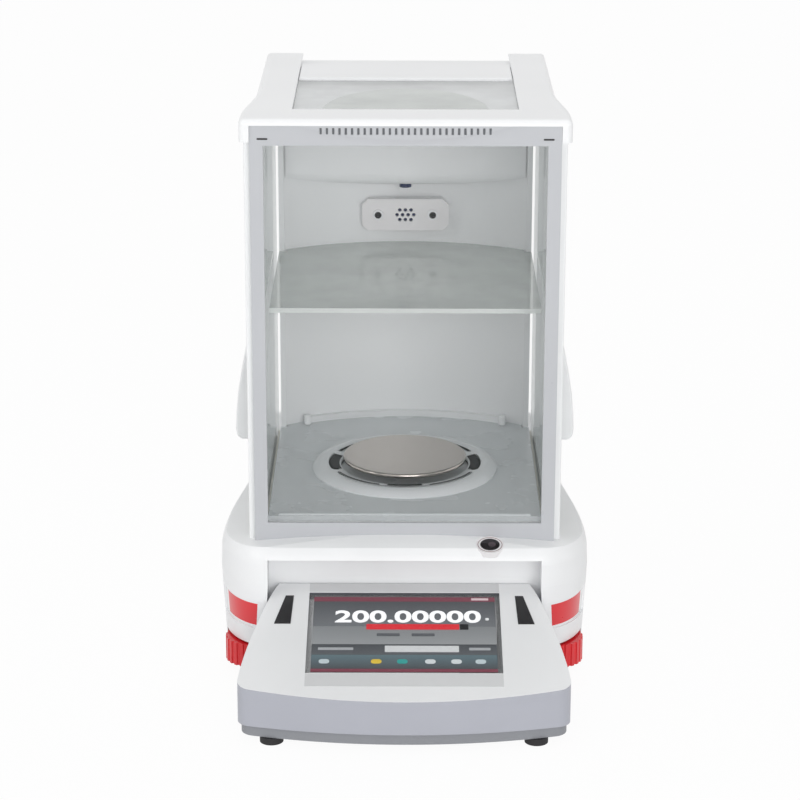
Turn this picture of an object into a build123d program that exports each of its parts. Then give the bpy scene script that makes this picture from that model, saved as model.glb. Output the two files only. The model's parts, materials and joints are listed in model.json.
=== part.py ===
from build123d import *
import math
import os

# Analytical precision balance with a glass draft shield and a separate display terminal.
# Millimetres. +Z is up, -Y is the front with the terminal, the origin is on the table
# below the centre of the whole footprint.

# Overall plan of the base
BASE_FRONT_Y = -95.0
BASE_REAR_Y = 198.0
BASE_HALF = 115.0
NOSE_X = 80.0
WIDE_Y = -48.0
WAIST_HALF = 104.0
WAIST_Y = 50.0
TAIL_HALF = 99.0
TAIL_Y = 168.0
TAIL_CORNER_X = 28.0
BASE_DRAFT = 3.0

# Heights of the base
SHELL_BOTTOM = 6.0
SEAM_Z = 62.0
COVER_TOP = 89.5
COVER_ROOF = 80.0
APRON_EDGE_Z = 82.0
APRON_START_Y = -72.0
CROWN_DROP = 4.0
CROWN_HALF = 91.0
SHOULDER_Z = (76.0, 81.0, 85.0, 89.5)
SHOULDER_INSET = (0.6, 2.0, 4.6, 10.0)
WALL = 3.0
PLATE_T = 3.0

# Bay in the front of the base that the terminal tucks into
BAY_HALF = 84.0
BAY_Y = -76.0
BAY_TOP = 79.0
BAY_CORNER_R = 6.0

# Weighing chamber
PAN_Y = 22.0
CHAMBER_FLOOR = 99.0
FLOOR_T = 3.0
FLOOR_HALF = 84.4
GLASS_T = 3.0
SHIELD_TOP = 350.0
FRONT_GLASS_Y = -75.0
FRONT_GLASS_HALF = 92.2
FRONT_GLASS_BOTTOM = 85.0
FRONT_GLASS_TOP = 346.0
BORDER_T = 0.8
BORDER_SIDE = 8.0
BORDER_TOP = 12.0
BORDER_BOTTOM = 12.0

# Concave rear wall of the chamber
REAR_WALL_Y = 131.0
REAR_WALL_R = 155.0
REAR_WALL_T = 3.0
REAR_WALL_HALF = 79.5

# Rear tower behind the chamber
TOWER_HALF = 84.0
TOWER_FRONT_Y = 104.0
TOWER_REAR_Y = 188.0
TOWER_CORNER_R = 16.0
TOWER_T = 3.5

# Top frame of the draft shield
FRAME_BOTTOM = 336.0
FRAME_FRONT_HALF = 98.5
FRAME_REAR_HALF = 92.0
FRAME_REAR_Y = 137.0
FRAME_INNER_HALF = 68.0
FRONT_BAR_REAR_Y = -47.0
REAR_BAR_FRONT_Y = 99.0
FRAME_EDGE_R = 3.5

# Sliding doors
SIDE_DOOR_X = 86.0
SIDE_DOOR_FRONT_Y = -65.5
SIDE_DOOR_REAR_Y = 112.0
SIDE_DOOR_TRAVEL = 150.0
SIDE_DOOR_TOP = 341.0
CHANNEL_GAP = 0.4
CARRIER_SIDE = 0.7
CARRIER_BOTTOM = 82.3
CARRIER_TOP = 94.0
GLASS_SEAT_Z = 90.0
TOP_DOOR_HALF = 72.0
TOP_DOOR_REAR_Y = 98.0
TOP_DOOR_Z = 344.8
TOP_DOOR_T = 3.0
TOP_GROOVE_GAP = 0.4
TOP_TAIL_START_Y = 52.0

# Rack and pinion that drive the side doors
GEAR_MODULE = 1.0
PINION_TEETH = 20
GEAR_BACKLASH = 0.35
GEAR_SPREAD = 0.15
DRIVE_Y = 98.0
RACK_TOP = 86.0
SHAFT_R = 2.5
SHAFT_FIT = 0.05
MOTOR_R = 12.0
MOTOR_H = 38.0

# Door handles
HANDLE_Y = -18.0
HANDLE_DEPTH = 26.0
HANDLE_LOW_Z = 128.0
HANDLE_TOP_Z = 190.0
HANDLE_REACH = 18.0

# Weighing pan and the ring around it
PAN_R = 40.0
PAN_TOP = 108.0
PAN_T = 3.0
PAN_RIM_R = 1.3
HUB_R = 8.0
POST_R = 4.0
POST_FIT = 0.3
RING_OUTER_R = 60.0
RING_INNER_R = 41.5
RING_CREST_R = 52.0
RING_CREST_Z = 103.5
RING_T = 1.6
SLOT_IN_R = 44.0
SLOT_OUT_R = 49.5

# Shelf half way up the chamber
SHELF_Z = 219.5
SHELF_T = 3.0
SHELF_HALF = 84.0
SHELF_FRONT_Y = -34.0
SHELF_GAP = 0.3

# Ioniser on the rear wall
ION_Z = 243.0
ION_HALF = 29.0
ION_HEIGHT = 21.5
ION_FRONT_Y = 122.0
ION_CORNER = 4.0
NOZZLE_X = 18.3
NOZZLE_R = 2.25
NOZZLE_RING_R = 3.6
GRILLE_PITCH = 3.75
GRILLE_HOLE_R = 1.25
HEADER_FRONT_Y = 107.0
HEADER_LOW_Z = 266.0
HEADER_SAG = 6.0

# Levelling wheels and feet
WHEEL_X = 95.0
WHEEL_Y = -70.0
WHEEL_R = 17.0
WHEEL_LOW_Z = 5.0
WHEEL_H = 15.0
WHEEL_GAP = 1.5
WHEEL_FLUTES = 24
FLUTE_R = 1.1
STUD_R = 4.0
STUD_H = 13.0
PAD_R = 9.0
SOCKET_WALL = 3.0
REAR_FOOT_X = 78.0
REAR_FOOT_Y = 165.0
REAR_FOOT_R = 11.0

# Red accents set into the front corners
ACCENT_LOW_Z = 33.0
ACCENT_TOP_Z = 51.0
ACCENT_REAR_Y = -58.0
ACCENT_INNER_X = 87.5
ACCENT_RECESS = 1.2

# Level indicator in the apron
LEVEL_X = 52.5
LEVEL_Y = -85.2
LEVEL_RING_R = 8.7
LEVEL_GLASS_R = 5.9
LEVEL_TOP_Z = 86.0
LEVEL_DEPTH = 5.0

# Weigh cell and its parts
CELL_HALF = 25.0
CELL_FRONT_Y = 36.0
CELL_LENGTH = 100.0
CELL_LOW_Z = 25.0
CELL_H = 44.0
CELL_SLIT = 1.2
BOSS_R = 5.0
CAL_Y = -30.0
CAL_MOTOR_R = 11.0
CAL_MOTOR_H = 18.0
SCREW_R = 3.0
LIFTER_Z = 30.0
LIFTER_T = 3.0
WEIGHT_R = 12.0
WEIGHT_H = 18.0
LIFT = 4.0
LIFT_GAP = 0.5

# Terminal
TERM_GAP = 0.3
TERM_REAR_Y = BAY_Y - TERM_GAP
TERM_FRONT_Y = -198.0
TERM_FRONT_HALF = 98.5
TERM_REAR_HALF = 77.0
TERM_CORNER_Y = -184.0
TERM_REAR_Z = 57.8
TERM_SLOPE = 12.0
TERM_LIP_Z = 11.0
TERM_BOTTOM = 4.0
TERM_COVER_T = 5.0
TERM_WALL = 3.0
TERM_LIP_INSET = 2.0
TERM_FOOT_R = 7.0
SCREEN_W = 117.0
SCREEN_L = 84.0
SCREEN_TOP = 11.5
SCREEN_GLASS_T = 1.6
PANEL_T = 4.0
SENSOR_TOP = 15.0
SENSOR_L = 30.0

# Terminal details
TERM_MID_HALF = 86.5
TERM_MID_Y = -108.0
TERM_FLARE = 0.45
TERM_CORNER_R = 9.0
TERM_EDGE_R = 1.5
TERM_FEET = ((78.0, -182.0), (62.0, -90.0))
SCREEN_LEDGE = 3.0
SENSOR_TOP_IN = 68.0
SENSOR_TOP_OUT = 73.0
SENSOR_LOW_IN = 69.0
SENSOR_LOW_OUT = 79.0
SENSOR_PROUD = 0.3

# Connectors, boards and small parts
PORT_Z = 37.0
PORT_HALF = 55.0
PORT_H = 26.0
PORT_CORNER_R = 3.0
PORT_PLATE_Y = 0.0
PORT_DEPTH = 10.0
JACK_X = 40.0
JACK_R = 4.5
JACK_BORE_R = 2.8
JACK_PIN_R = 1.0
SERIAL_X = 10.0
SERIAL_W = 31.0
SERIAL_H = 12.5
USB_X = 40.0
USB_W = 12.0
USB_H = 11.0
BOARD_W = 120.0
BOARD_H = 110.0
BOARD_Z = 180.0
BOARD_T = 1.6
BOARD_STAND = 12.0
CHIP_SIZE = 14.0
PIN_R = 1.6
PIN_L = 8.0
SCREW_HEAD_R = 3.5
SCREW_HEAD_H = 2.0
SCREW_PLACES = ((-60.0, -62.0), (60.0, -62.0), (-92.0, 40.0), (92.0, 40.0), (-50.0, 182.0), (50.0, 182.0))
VENT_Z = 280.0
VENT_PITCH = 7.0
VENT_COUNT = 6
VENT_LENGTH = 80.0
VENT_WIDTH = 3.0
TOWER_EDGE_R = 6.0
STEM_HOLE_R = 14.0
MAGNET_R = 16.0
MAGNET_H = 40.0
NECK_R = 4.0
NECK_T = 0.8
NECK_SPAN = 84.0
BOSS_SPAN = 24.0
ARM_T = 6.0
ARM_HALF = 12.0
ARM_GRIP = 14.0
WEIGHT_Y = 0.0
SHAFT_GRIP = 10.0
GEAR_ROOT = 1.2

# Details of the draft shield
SLOT_GAP = 0.1
POST_REAR_Y = -66.2
POST_OUT_X = 96.0
FLOOR_FRONT_Y = -69.0
BEAD_Y = 2.5
BEAD_WIDTH = 3.0
BEAD_H = 1.2
BEAD_HALF = 78.0
LIP_DEPTH = 4.0
LIP_H = 4.0
RING_DOME_R = 57.5
RING_DOME_Z = 102.2
WIDE_SLOT = 16.0
NARROW_SLOT = 19.0
NARROW_SLOT_W = 1.6
SCREEN_MESH_T = 0.8
ION_WALL = 2.0
GRILLE_ROW = 0.88
NOZZLE_PROUD = 1.2
HEADER_ROUND = 9.0
LENS_R = 4.0
LENS_H = 3.0
STRIP_HALF = 64.0
STRIP_H = 8.5
STRIP_SLOTS = 28
STRIP_PITCH = 3.7
STRIP_SLOT_W = 1.6
STRIP_SLOT_H = 4.0
LEVEL_PROUD = 0.6
SHOULDER_START_Y = -60.0
SHOULDER_END_Y = 10.0
GRIP_HALF = 50.0
GRIP_DEPTH = 65.0
GRIP_T = 1.8

os.makedirs("parts", exist_ok=True)

SIDES = (("left", -1), ("right", 1))


def finish(piece, label):
    piece.part.label = label
    export_step(piece.part, f"parts/{label}.step")


# Plan outline of the base, drawn at any height and any distance inside the skin
def base_half_outline(inset):
    front = BASE_FRONT_Y + inset
    half = BASE_HALF - inset
    rear = BASE_REAR_Y - inset
    tail = TAIL_HALF - inset
    corner_x = TAIL_CORNER_X - inset
    Line((0, front), (NOSE_X, front))
    EllipticalCenterArc((NOSE_X, WIDE_Y), half - NOSE_X, WIDE_Y - front, start_angle=-90, arc_size=90)
    Spline((half, WIDE_Y), (WAIST_HALF - inset, WAIST_Y), (tail, TAIL_Y), tangents=((0, 1), (0, 1)))
    EllipticalCenterArc((tail - corner_x, TAIL_Y), corner_x, rear - TAIL_Y, start_angle=0, arc_size=90)
    Line((tail - corner_x, rear), (0, rear))
    mirror(about=Plane.YZ)


def base_plan(height, inset):
    with BuildSketch(Plane.XY.offset(height)) as plan:
        with BuildLine():
            base_half_outline(inset)
        make_face()
    return plan.sketch.face()


def base_plan_with_bay(height, inset):
    bay_rear = BAY_Y + inset
    bay_depth = bay_rear - BASE_FRONT_Y + WALL
    with BuildSketch(Plane.XY.offset(height)) as plan:
        with BuildLine():
            base_half_outline(inset)
        make_face()
        with Locations((0, bay_rear - bay_depth / 2)):
            Rectangle(2 * (BAY_HALF + inset), bay_depth, mode=Mode.SUBTRACT)
    return plan.sketch.face()


# Depth of the concave rear wall at a distance x from the middle
def wall_y(x):
    return REAR_WALL_Y - REAR_WALL_R + math.sqrt(REAR_WALL_R ** 2 - x ** 2)


# Plan of the chamber floor out to the concave wall, less a gap
def chamber_plan(height, half, front, gap):
    with BuildSketch(Plane.XY.offset(height)) as plan:
        with Locations((0, REAR_WALL_Y - REAR_WALL_R)):
            Circle(REAR_WALL_R - gap)
        depth = REAR_WALL_Y - front
        with Locations((0, front + depth / 2)):
            Rectangle(2 * (REAR_WALL_HALF - gap), depth, mode=Mode.INTERSECT)
        flat = TOWER_FRONT_Y - gap - front
        with Locations((0, front + flat / 2)):
            Rectangle(2 * half, flat)
    return plan.sketch.face()


# Lower shell of the base, open at the top and at the bottom
wheel_roof = WHEEL_LOW_Z + WHEEL_H + WHEEL_GAP
wheel_room_r = WHEEL_R + WHEEL_GAP
with BuildPart() as base_shell:
    loft(sections=[base_plan_with_bay(SHELL_BOTTOM, BASE_DRAFT), base_plan_with_bay(SEAM_Z, 0)])
    loft(sections=[base_plan_with_bay(SHELL_BOTTOM, BASE_DRAFT + WALL), base_plan_with_bay(SEAM_Z, WALL)],
         mode=Mode.SUBTRACT)
    with BuildSketch():
        with Locations((-WHEEL_X, WHEEL_Y), (WHEEL_X, WHEEL_Y)):
            Circle(wheel_room_r)
    extrude(amount=wheel_roof, mode=Mode.SUBTRACT)
    accent_depth = ACCENT_REAR_Y - BASE_FRONT_Y
    accent_width = BASE_HALF - ACCENT_INNER_X
    accent_x = ACCENT_INNER_X + accent_width / 2
    accent_y = BASE_FRONT_Y + accent_depth / 2
    with BuildSketch(Plane.XY.offset(ACCENT_LOW_Z)):
        with Locations((-accent_x, accent_y), (accent_x, accent_y)):
            Rectangle(accent_width, accent_depth)
    extrude(amount=ACCENT_TOP_Z - ACCENT_LOW_Z, mode=Mode.SUBTRACT)
    with BuildSketch(Plane.XZ.offset(-BASE_REAR_Y)):
        with Locations((0, PORT_Z)):
            RectangleRounded(2 * PORT_HALF, PORT_H, PORT_CORNER_R)
    extrude(amount=BASE_DRAFT + 2 * WALL, mode=Mode.SUBTRACT)
finish(base_shell, "base_shell")

# Red accents that fill the corner windows, a little behind the skin
with BuildPart() as accents:
    inset = ACCENT_RECESS
    loft(sections=[base_plan_with_bay(SHELL_BOTTOM, BASE_DRAFT + inset), base_plan_with_bay(SEAM_Z, inset)])
    inset = ACCENT_RECESS + WALL
    loft(sections=[base_plan_with_bay(SHELL_BOTTOM, BASE_DRAFT + inset), base_plan_with_bay(SEAM_Z, inset)],
         mode=Mode.SUBTRACT)
    with BuildSketch(Plane.XY.offset(ACCENT_LOW_Z)):
        with Locations((-accent_x, accent_y), (accent_x, accent_y)):
            Rectangle(accent_width, accent_depth)
    extrude(amount=ACCENT_TOP_Z - ACCENT_LOW_Z, mode=Mode.INTERSECT)
finish(accents, "corner_accents")

# Bottom plate of the base, with the bosses that carry the weigh cell
plate_top = SHELL_BOTTOM + PLATE_T
with BuildPart() as base_plate:
    extrude(base_plan_with_bay(SHELL_BOTTOM, BASE_DRAFT + WALL), amount=PLATE_T)
    with BuildSketch(Plane.XY.offset(SHELL_BOTTOM)):
        with Locations((-WHEEL_X, WHEEL_Y), (WHEEL_X, WHEEL_Y)):
            Circle(wheel_room_r + SOCKET_WALL)
    extrude(amount=PLATE_T, mode=Mode.SUBTRACT)
    with BuildSketch(Plane.XY.offset(plate_top)):
        with Locations((0, CELL_FRONT_Y + CELL_LENGTH - BOSS_SPAN)):
            with GridLocations(2 * CELL_HALF - 4 * BOSS_R, BOSS_SPAN, 2, 2):
                Circle(BOSS_R)
    extrude(amount=CELL_LOW_Z - plate_top)
finish(base_plate, "base_plate")

# Sockets that hold the studs of the levelling wheels
with BuildPart() as level_sockets:
    with BuildSketch(Plane.XY.offset(SHELL_BOTTOM)):
        with Locations((-WHEEL_X, WHEEL_Y), (WHEEL_X, WHEEL_Y)):
            Circle(wheel_room_r + SOCKET_WALL)
    extrude(amount=wheel_roof + SOCKET_WALL - SHELL_BOTTOM)
    with BuildSketch(Plane.XY.offset(SHELL_BOTTOM)):
        with Locations((-WHEEL_X, WHEEL_Y), (WHEEL_X, WHEEL_Y)):
            Circle(wheel_room_r)
    extrude(amount=wheel_roof - SHELL_BOTTOM, mode=Mode.SUBTRACT)
    with BuildSketch(Plane.XY.offset(SHELL_BOTTOM)):
        with Locations((-WHEEL_X, WHEEL_Y), (WHEEL_X, WHEEL_Y)):
            Circle(STUD_R + SHAFT_FIT)
    extrude(amount=wheel_roof + SOCKET_WALL - SHELL_BOTTOM, mode=Mode.SUBTRACT)
    extrude(base_plan_with_bay(SHELL_BOTTOM, BASE_DRAFT + WALL), amount=wheel_roof + SOCKET_WALL,
            mode=Mode.INTERSECT)
finish(level_sockets, "level_sockets")

# Levelling wheels with their studs, and the pads that they stand on
for side, sign in SIDES:
    with BuildPart() as wheel:
        with BuildSketch(Plane.XY.offset(WHEEL_LOW_Z)):
            with Locations((sign * WHEEL_X, WHEEL_Y)):
                Circle(WHEEL_R)
                with PolarLocations(WHEEL_R, WHEEL_FLUTES):
                    Circle(FLUTE_R, mode=Mode.SUBTRACT)
        extrude(amount=WHEEL_H)
        with BuildSketch(Plane.XY.offset(WHEEL_LOW_Z + WHEEL_H)):
            with Locations((sign * WHEEL_X, WHEEL_Y)):
                Circle(STUD_R)
        extrude(amount=STUD_H)
    finish(wheel, f"level_wheel_{side}")
    with BuildPart() as pad:
        with BuildSketch():
            with Locations((sign * WHEEL_X, WHEEL_Y)):
                Circle(PAD_R)
        extrude(amount=WHEEL_LOW_Z, taper=8)
    finish(pad, f"foot_pad_{side}")

# Rear feet
with BuildPart() as rear_feet:
    with BuildSketch():
        with Locations((-REAR_FOOT_X, REAR_FOOT_Y), (REAR_FOOT_X, REAR_FOOT_Y)):
            Circle(REAR_FOOT_R)
    extrude(amount=SHELL_BOTTOM)
    chamfer(rear_feet.edges().group_by(Axis.Z)[0], length=1)
finish(rear_feet, "rear_feet")

# Screws under the bottom plate
with BuildPart() as base_screws:
    with BuildSketch(Plane.XY.offset(SHELL_BOTTOM)):
        with Locations(*SCREW_PLACES):
            Circle(SCREW_HEAD_R)
    extrude(amount=-SCREW_HEAD_H)
    chamfer(base_screws.edges().group_by(Axis.Z)[0], length=0.5)
finish(base_screws, "base_screws")

# Upper cover of the base with its crowned apron
pinion_r = GEAR_MODULE * PINION_TEETH / 2
rack_tip_x = SIDE_DOOR_X - CARRIER_SIDE
rack_pitch_x = rack_tip_x + GEAR_MODULE
drive_x = rack_pitch_x - pinion_r - GEAR_SPREAD
channel_in = SIDE_DOOR_X - CARRIER_SIDE - CHANNEL_GAP
channel_out = SIDE_DOOR_X + GLASS_T + CARRIER_SIDE + CHANNEL_GAP
glass_slot_front = FRONT_GLASS_Y - BORDER_T - SLOT_GAP
glass_slot_rear = FRONT_GLASS_Y + GLASS_T + SLOT_GAP
crown_side = BASE_HALF + WALL
crown_side_z = COVER_TOP - CROWN_DROP * (crown_side / CROWN_HALF) ** 2
floor_low = CHAMBER_FLOOR - FLOOR_T
with BuildPart() as base_cover:
    loft(sections=[base_plan(SEAM_Z, 0), base_plan(SHOULDER_Z[0], SHOULDER_INSET[0])])
    loft(sections=[base_plan(height, inset) for height, inset in zip(SHOULDER_Z, SHOULDER_INSET)])
    with BuildSketch(Plane.XZ):
        with BuildLine():
            ThreePointArc((-crown_side, crown_side_z), (0, COVER_TOP), (crown_side, crown_side_z))
            Polyline((crown_side, crown_side_z), (crown_side, SEAM_Z), (-crown_side, SEAM_Z),
                     (-crown_side, crown_side_z))
        make_face()
    extrude(amount=BASE_REAR_Y - BASE_FRONT_Y, both=True, mode=Mode.INTERSECT)
    with BuildSketch(Plane.YZ):
        with BuildLine():
            apron = TangentArc((APRON_START_Y, COVER_TOP), (BASE_FRONT_Y - WALL, APRON_EDGE_Z - 1),
                               tangent=(-1, 0))
            Polyline(apron @ 1, (BASE_FRONT_Y - WALL, SEAM_Z), (BASE_REAR_Y + WALL, SEAM_Z),
                     (BASE_REAR_Y + WALL, COVER_TOP), apron @ 0)
        make_face()
    extrude(amount=crown_side, both=True, mode=Mode.INTERSECT)
    bay_depth = BAY_Y - BASE_FRONT_Y + WALL
    with BuildSketch(Plane.XY.offset(SEAM_Z)):
        with Locations((0, BAY_Y - bay_depth / 2)):
            Rectangle(2 * BAY_HALF, bay_depth)
    extrude(amount=BAY_TOP - SEAM_Z, mode=Mode.SUBTRACT)
    extrude(base_plan_with_bay(SEAM_Z, WALL), amount=COVER_ROOF - SEAM_Z, mode=Mode.SUBTRACT)
    plinth_depth = TOWER_REAR_Y - glass_slot_rear
    with BuildSketch(Plane.XY.offset(COVER_ROOF)):
        with Locations((0, glass_slot_rear + plinth_depth / 2)):
            Rectangle(2 * FLOOR_HALF, plinth_depth)
    extrude(amount=floor_low - COVER_ROOF)
    with BuildSketch(Plane.XY.offset(FRONT_GLASS_BOTTOM)):
        with Locations((0, (glass_slot_front + glass_slot_rear) / 2)):
            Rectangle(2 * (FRONT_GLASS_HALF + SLOT_GAP), glass_slot_rear - glass_slot_front)
        post_depth = POST_REAR_Y - glass_slot_rear
        post_x = (FLOOR_HALF + POST_OUT_X) / 2
        with Locations((-post_x, POST_REAR_Y - post_depth / 2), (post_x, POST_REAR_Y - post_depth / 2)):
            Rectangle(POST_OUT_X - FLOOR_HALF, post_depth)
    extrude(amount=floor_low - FRONT_GLASS_BOTTOM, mode=Mode.SUBTRACT)
    channel_length = BASE_REAR_Y - POST_REAR_Y
    channel_x = (channel_in + channel_out) / 2
    channel_y = POST_REAR_Y + channel_length / 2
    with BuildSketch(Plane.XY.offset(CARRIER_BOTTOM - CHANNEL_GAP)):
        with Locations((-channel_x, channel_y), (channel_x, channel_y)):
            Rectangle(channel_out - channel_in, channel_length)
    extrude(amount=SEAM_Z, mode=Mode.SUBTRACT)
    with BuildSketch(Plane.XY.offset(CARRIER_BOTTOM - CHANNEL_GAP)):
        with Locations((-drive_x, DRIVE_Y), (drive_x, DRIVE_Y)):
            Circle(pinion_r + 2 * GEAR_MODULE)
    extrude(amount=RACK_TOP + CHANNEL_GAP - CARRIER_BOTTOM, mode=Mode.SUBTRACT)
    with BuildSketch(Plane.XY.offset(SEAM_Z)):
        with Locations((-drive_x, DRIVE_Y), (drive_x, DRIVE_Y)):
            Circle(SHAFT_R + CHANNEL_GAP)
    extrude(amount=CARRIER_BOTTOM - SEAM_Z, mode=Mode.SUBTRACT)
    with BuildSketch(Plane.XY.offset(SEAM_Z)):
        with Locations((0, PAN_Y)):
            Circle(STEM_HOLE_R)
    extrude(amount=SEAM_Z, mode=Mode.SUBTRACT)
    with BuildSketch(Plane.XY.offset(LEVEL_TOP_Z - LEVEL_DEPTH)):
        with Locations((LEVEL_X, LEVEL_Y)):
            Circle(LEVEL_RING_R)
    extrude(amount=SEAM_Z, mode=Mode.SUBTRACT)
finish(base_cover, "base_cover")

# Level indicator, a ring with a bubble vial in it
with BuildPart() as level_ring:
    with BuildSketch(Plane.XY.offset(LEVEL_TOP_Z - LEVEL_DEPTH)):
        with Locations((LEVEL_X, LEVEL_Y)):
            Circle(LEVEL_RING_R)
            Circle(LEVEL_GLASS_R, mode=Mode.SUBTRACT)
    extrude(amount=LEVEL_DEPTH + LEVEL_PROUD)
    chamfer(level_ring.edges().group_by(Axis.Z)[-1], length=0.6)
finish(level_ring, "level_ring")

with BuildPart() as level_vial:
    with BuildSketch(Plane.XY.offset(LEVEL_TOP_Z - LEVEL_DEPTH)):
        with Locations((LEVEL_X, LEVEL_Y)):
            Circle(LEVEL_GLASS_R)
    extrude(amount=LEVEL_DEPTH)
finish(level_vial, "level_vial")

# Tower behind the chamber, open to the front
tower_depth = TOWER_REAR_Y - TOWER_FRONT_Y
tower_y = TOWER_FRONT_Y + tower_depth / 2
with BuildPart() as tower_shell:
    with BuildSketch(Plane.XY.offset(floor_low)) as tower_plan:
        with Locations((0, tower_y)):
            Rectangle(2 * TOWER_HALF, tower_depth)
        fillet(tower_plan.vertices().group_by(Axis.Y)[-1], radius=TOWER_CORNER_R)
    extrude(amount=FRAME_BOTTOM - floor_low)
    with BuildSketch(Plane.XY.offset(floor_low)) as tower_room:
        with Locations((0, tower_y - TOWER_T)):
            Rectangle(2 * (TOWER_HALF - TOWER_T), tower_depth)
        fillet(tower_room.vertices().group_by(Axis.Y)[-1], radius=TOWER_CORNER_R - TOWER_T)
    extrude(amount=FRAME_BOTTOM - TOWER_T - floor_low, mode=Mode.SUBTRACT)
    with BuildSketch(Plane.XZ.offset(-TOWER_REAR_Y)):
        with Locations((0, VENT_Z)):
            with GridLocations(VENT_PITCH, VENT_PITCH, 1, VENT_COUNT):
                SlotOverall(VENT_LENGTH, VENT_WIDTH)
    extrude(amount=2 * TOWER_T, mode=Mode.SUBTRACT)
    fillet(tower_shell.edges().filter_by_position(Axis.Z, FRAME_BOTTOM - 0.1, FRAME_BOTTOM + 0.1)
           .filter_by(lambda edge: edge.center().Y > FRAME_REAR_Y + TOWER_CORNER_R), radius=TOWER_EDGE_R)
finish(tower_shell, "tower_shell")

# Concave rear wall with a low lip at its foot
tower_inside = TOWER_HALF - TOWER_T
with BuildPart() as rear_wall:
    with BuildSketch(Plane.XY.offset(floor_low)):
        with Locations((0, REAR_WALL_Y - REAR_WALL_R)):
            Circle(REAR_WALL_R + REAR_WALL_T)
            Circle(REAR_WALL_R, mode=Mode.SUBTRACT)
        with Locations((0, REAR_WALL_Y)):
            Rectangle(2 * tower_inside, 4 * TOWER_T + tower_depth, mode=Mode.INTERSECT)
    extrude(amount=FRAME_BOTTOM - TOWER_T - floor_low)
    with BuildSketch(Plane.XY.offset(CHAMBER_FLOOR)):
        with Locations((0, REAR_WALL_Y - REAR_WALL_R)):
            Circle(REAR_WALL_R)
            Circle(REAR_WALL_R - LIP_DEPTH, mode=Mode.SUBTRACT)
        with Locations((0, REAR_WALL_Y)):
            Rectangle(2 * FRAME_INNER_HALF, 4 * TOWER_T + tower_depth, mode=Mode.INTERSECT)
    extrude(amount=LIP_H)
finish(rear_wall, "rear_wall")

# Bulging header over the rear wall
header_top = FRAME_BOTTOM - TOWER_T
with BuildPart() as header:
    with BuildSketch(Plane.XZ.offset(-HEADER_FRONT_Y)):
        with BuildLine():
            ThreePointArc((-REAR_WALL_HALF, HEADER_LOW_Z + HEADER_SAG), (0, HEADER_LOW_Z),
                          (REAR_WALL_HALF, HEADER_LOW_Z + HEADER_SAG))
            Polyline((REAR_WALL_HALF, HEADER_LOW_Z + HEADER_SAG), (REAR_WALL_HALF, header_top),
                     (-REAR_WALL_HALF, header_top), (-REAR_WALL_HALF, HEADER_LOW_Z + HEADER_SAG))
        make_face()
    extrude(amount=-(REAR_WALL_Y - HEADER_FRONT_Y))
    with BuildSketch():
        with Locations((0, REAR_WALL_Y - REAR_WALL_R)):
            Circle(REAR_WALL_R)
    extrude(amount=header_top, mode=Mode.INTERSECT)
    with BuildSketch(Plane.YZ):
        with BuildLine():
            curve = TangentArc((HEADER_FRONT_Y, HEADER_LOW_Z + HEADER_ROUND),
                               (HEADER_FRONT_Y + HEADER_ROUND, HEADER_LOW_Z), tangent=(0, -1))
            Polyline(curve @ 1, (REAR_WALL_Y, HEADER_LOW_Z), (REAR_WALL_Y, header_top),
                     (HEADER_FRONT_Y, header_top), curve @ 0)
        make_face()
    extrude(amount=REAR_WALL_HALF, both=True, mode=Mode.INTERSECT)
finish(header, "header_cover")

# Ioniser panel with its honeycomb of outlet holes
ion_rear = wall_y(ION_HALF)
ion_plane = Plane.XZ.offset(-ION_FRONT_Y)
honeycomb = [(GRILLE_PITCH * (column - (count - 1) / 2), ION_Z + GRILLE_PITCH * GRILLE_ROW * row)
             for row, count in ((1, 3), (0, 4), (-1, 3)) for column in range(count)]
with BuildPart() as ion_panel:
    with BuildSketch(ion_plane) as ion_face:
        with Locations((0, ION_Z)):
            Rectangle(2 * ION_HALF, ION_HEIGHT)
        chamfer(ion_face.vertices(), length=ION_CORNER)
    extrude(amount=-(ion_rear - ION_FRONT_Y))
    with BuildSketch(Plane.XZ.offset(-ion_rear)) as ion_room:
        with Locations((0, ION_Z)):
            Rectangle(2 * (ION_HALF - ION_WALL), ION_HEIGHT - 2 * ION_WALL)
        chamfer(ion_room.vertices(), length=ION_CORNER)
    extrude(amount=ion_rear - ION_FRONT_Y - ION_WALL, mode=Mode.SUBTRACT)
    with BuildSketch(ion_plane):
        with Locations((-NOZZLE_X, ION_Z), (NOZZLE_X, ION_Z)):
            Circle(NOZZLE_RING_R)
        with Locations(*honeycomb):
            Circle(GRILLE_HOLE_R)
    extrude(amount=-ION_WALL, mode=Mode.SUBTRACT)
finish(ion_panel, "ioniser_panel")

with BuildPart() as nozzles:
    with BuildSketch(Plane.XZ.offset(NOZZLE_PROUD - ION_FRONT_Y)):
        with Locations((-NOZZLE_X, ION_Z), (NOZZLE_X, ION_Z)):
            Circle(NOZZLE_RING_R)
    extrude(amount=-(NOZZLE_PROUD + 2 * ION_WALL))
    with BuildSketch(Plane.XZ.offset(NOZZLE_PROUD - ION_FRONT_Y)):
        with Locations((-NOZZLE_X, ION_Z), (NOZZLE_X, ION_Z)):
            Circle(NOZZLE_R)
    extrude(amount=-(NOZZLE_PROUD + ION_WALL), mode=Mode.SUBTRACT)
finish(nozzles, "ioniser_nozzles")

# Lamp behind the honeycomb and the small lens under the header
with BuildPart() as lamps:
    with BuildSketch(Plane.XZ.offset(-ION_FRONT_Y - ION_WALL)):
        with Locations((0, ION_Z)):
            Circle(2 * GRILLE_PITCH)
    extrude(amount=-1)
    with BuildSketch(Plane.XY.offset(HEADER_LOW_Z)):
        with Locations((0, HEADER_FRONT_Y + HEADER_ROUND + LENS_R)):
            Circle(LENS_R)
    extrude(amount=-LENS_H)
finish(lamps, "status_lamps")

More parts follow.
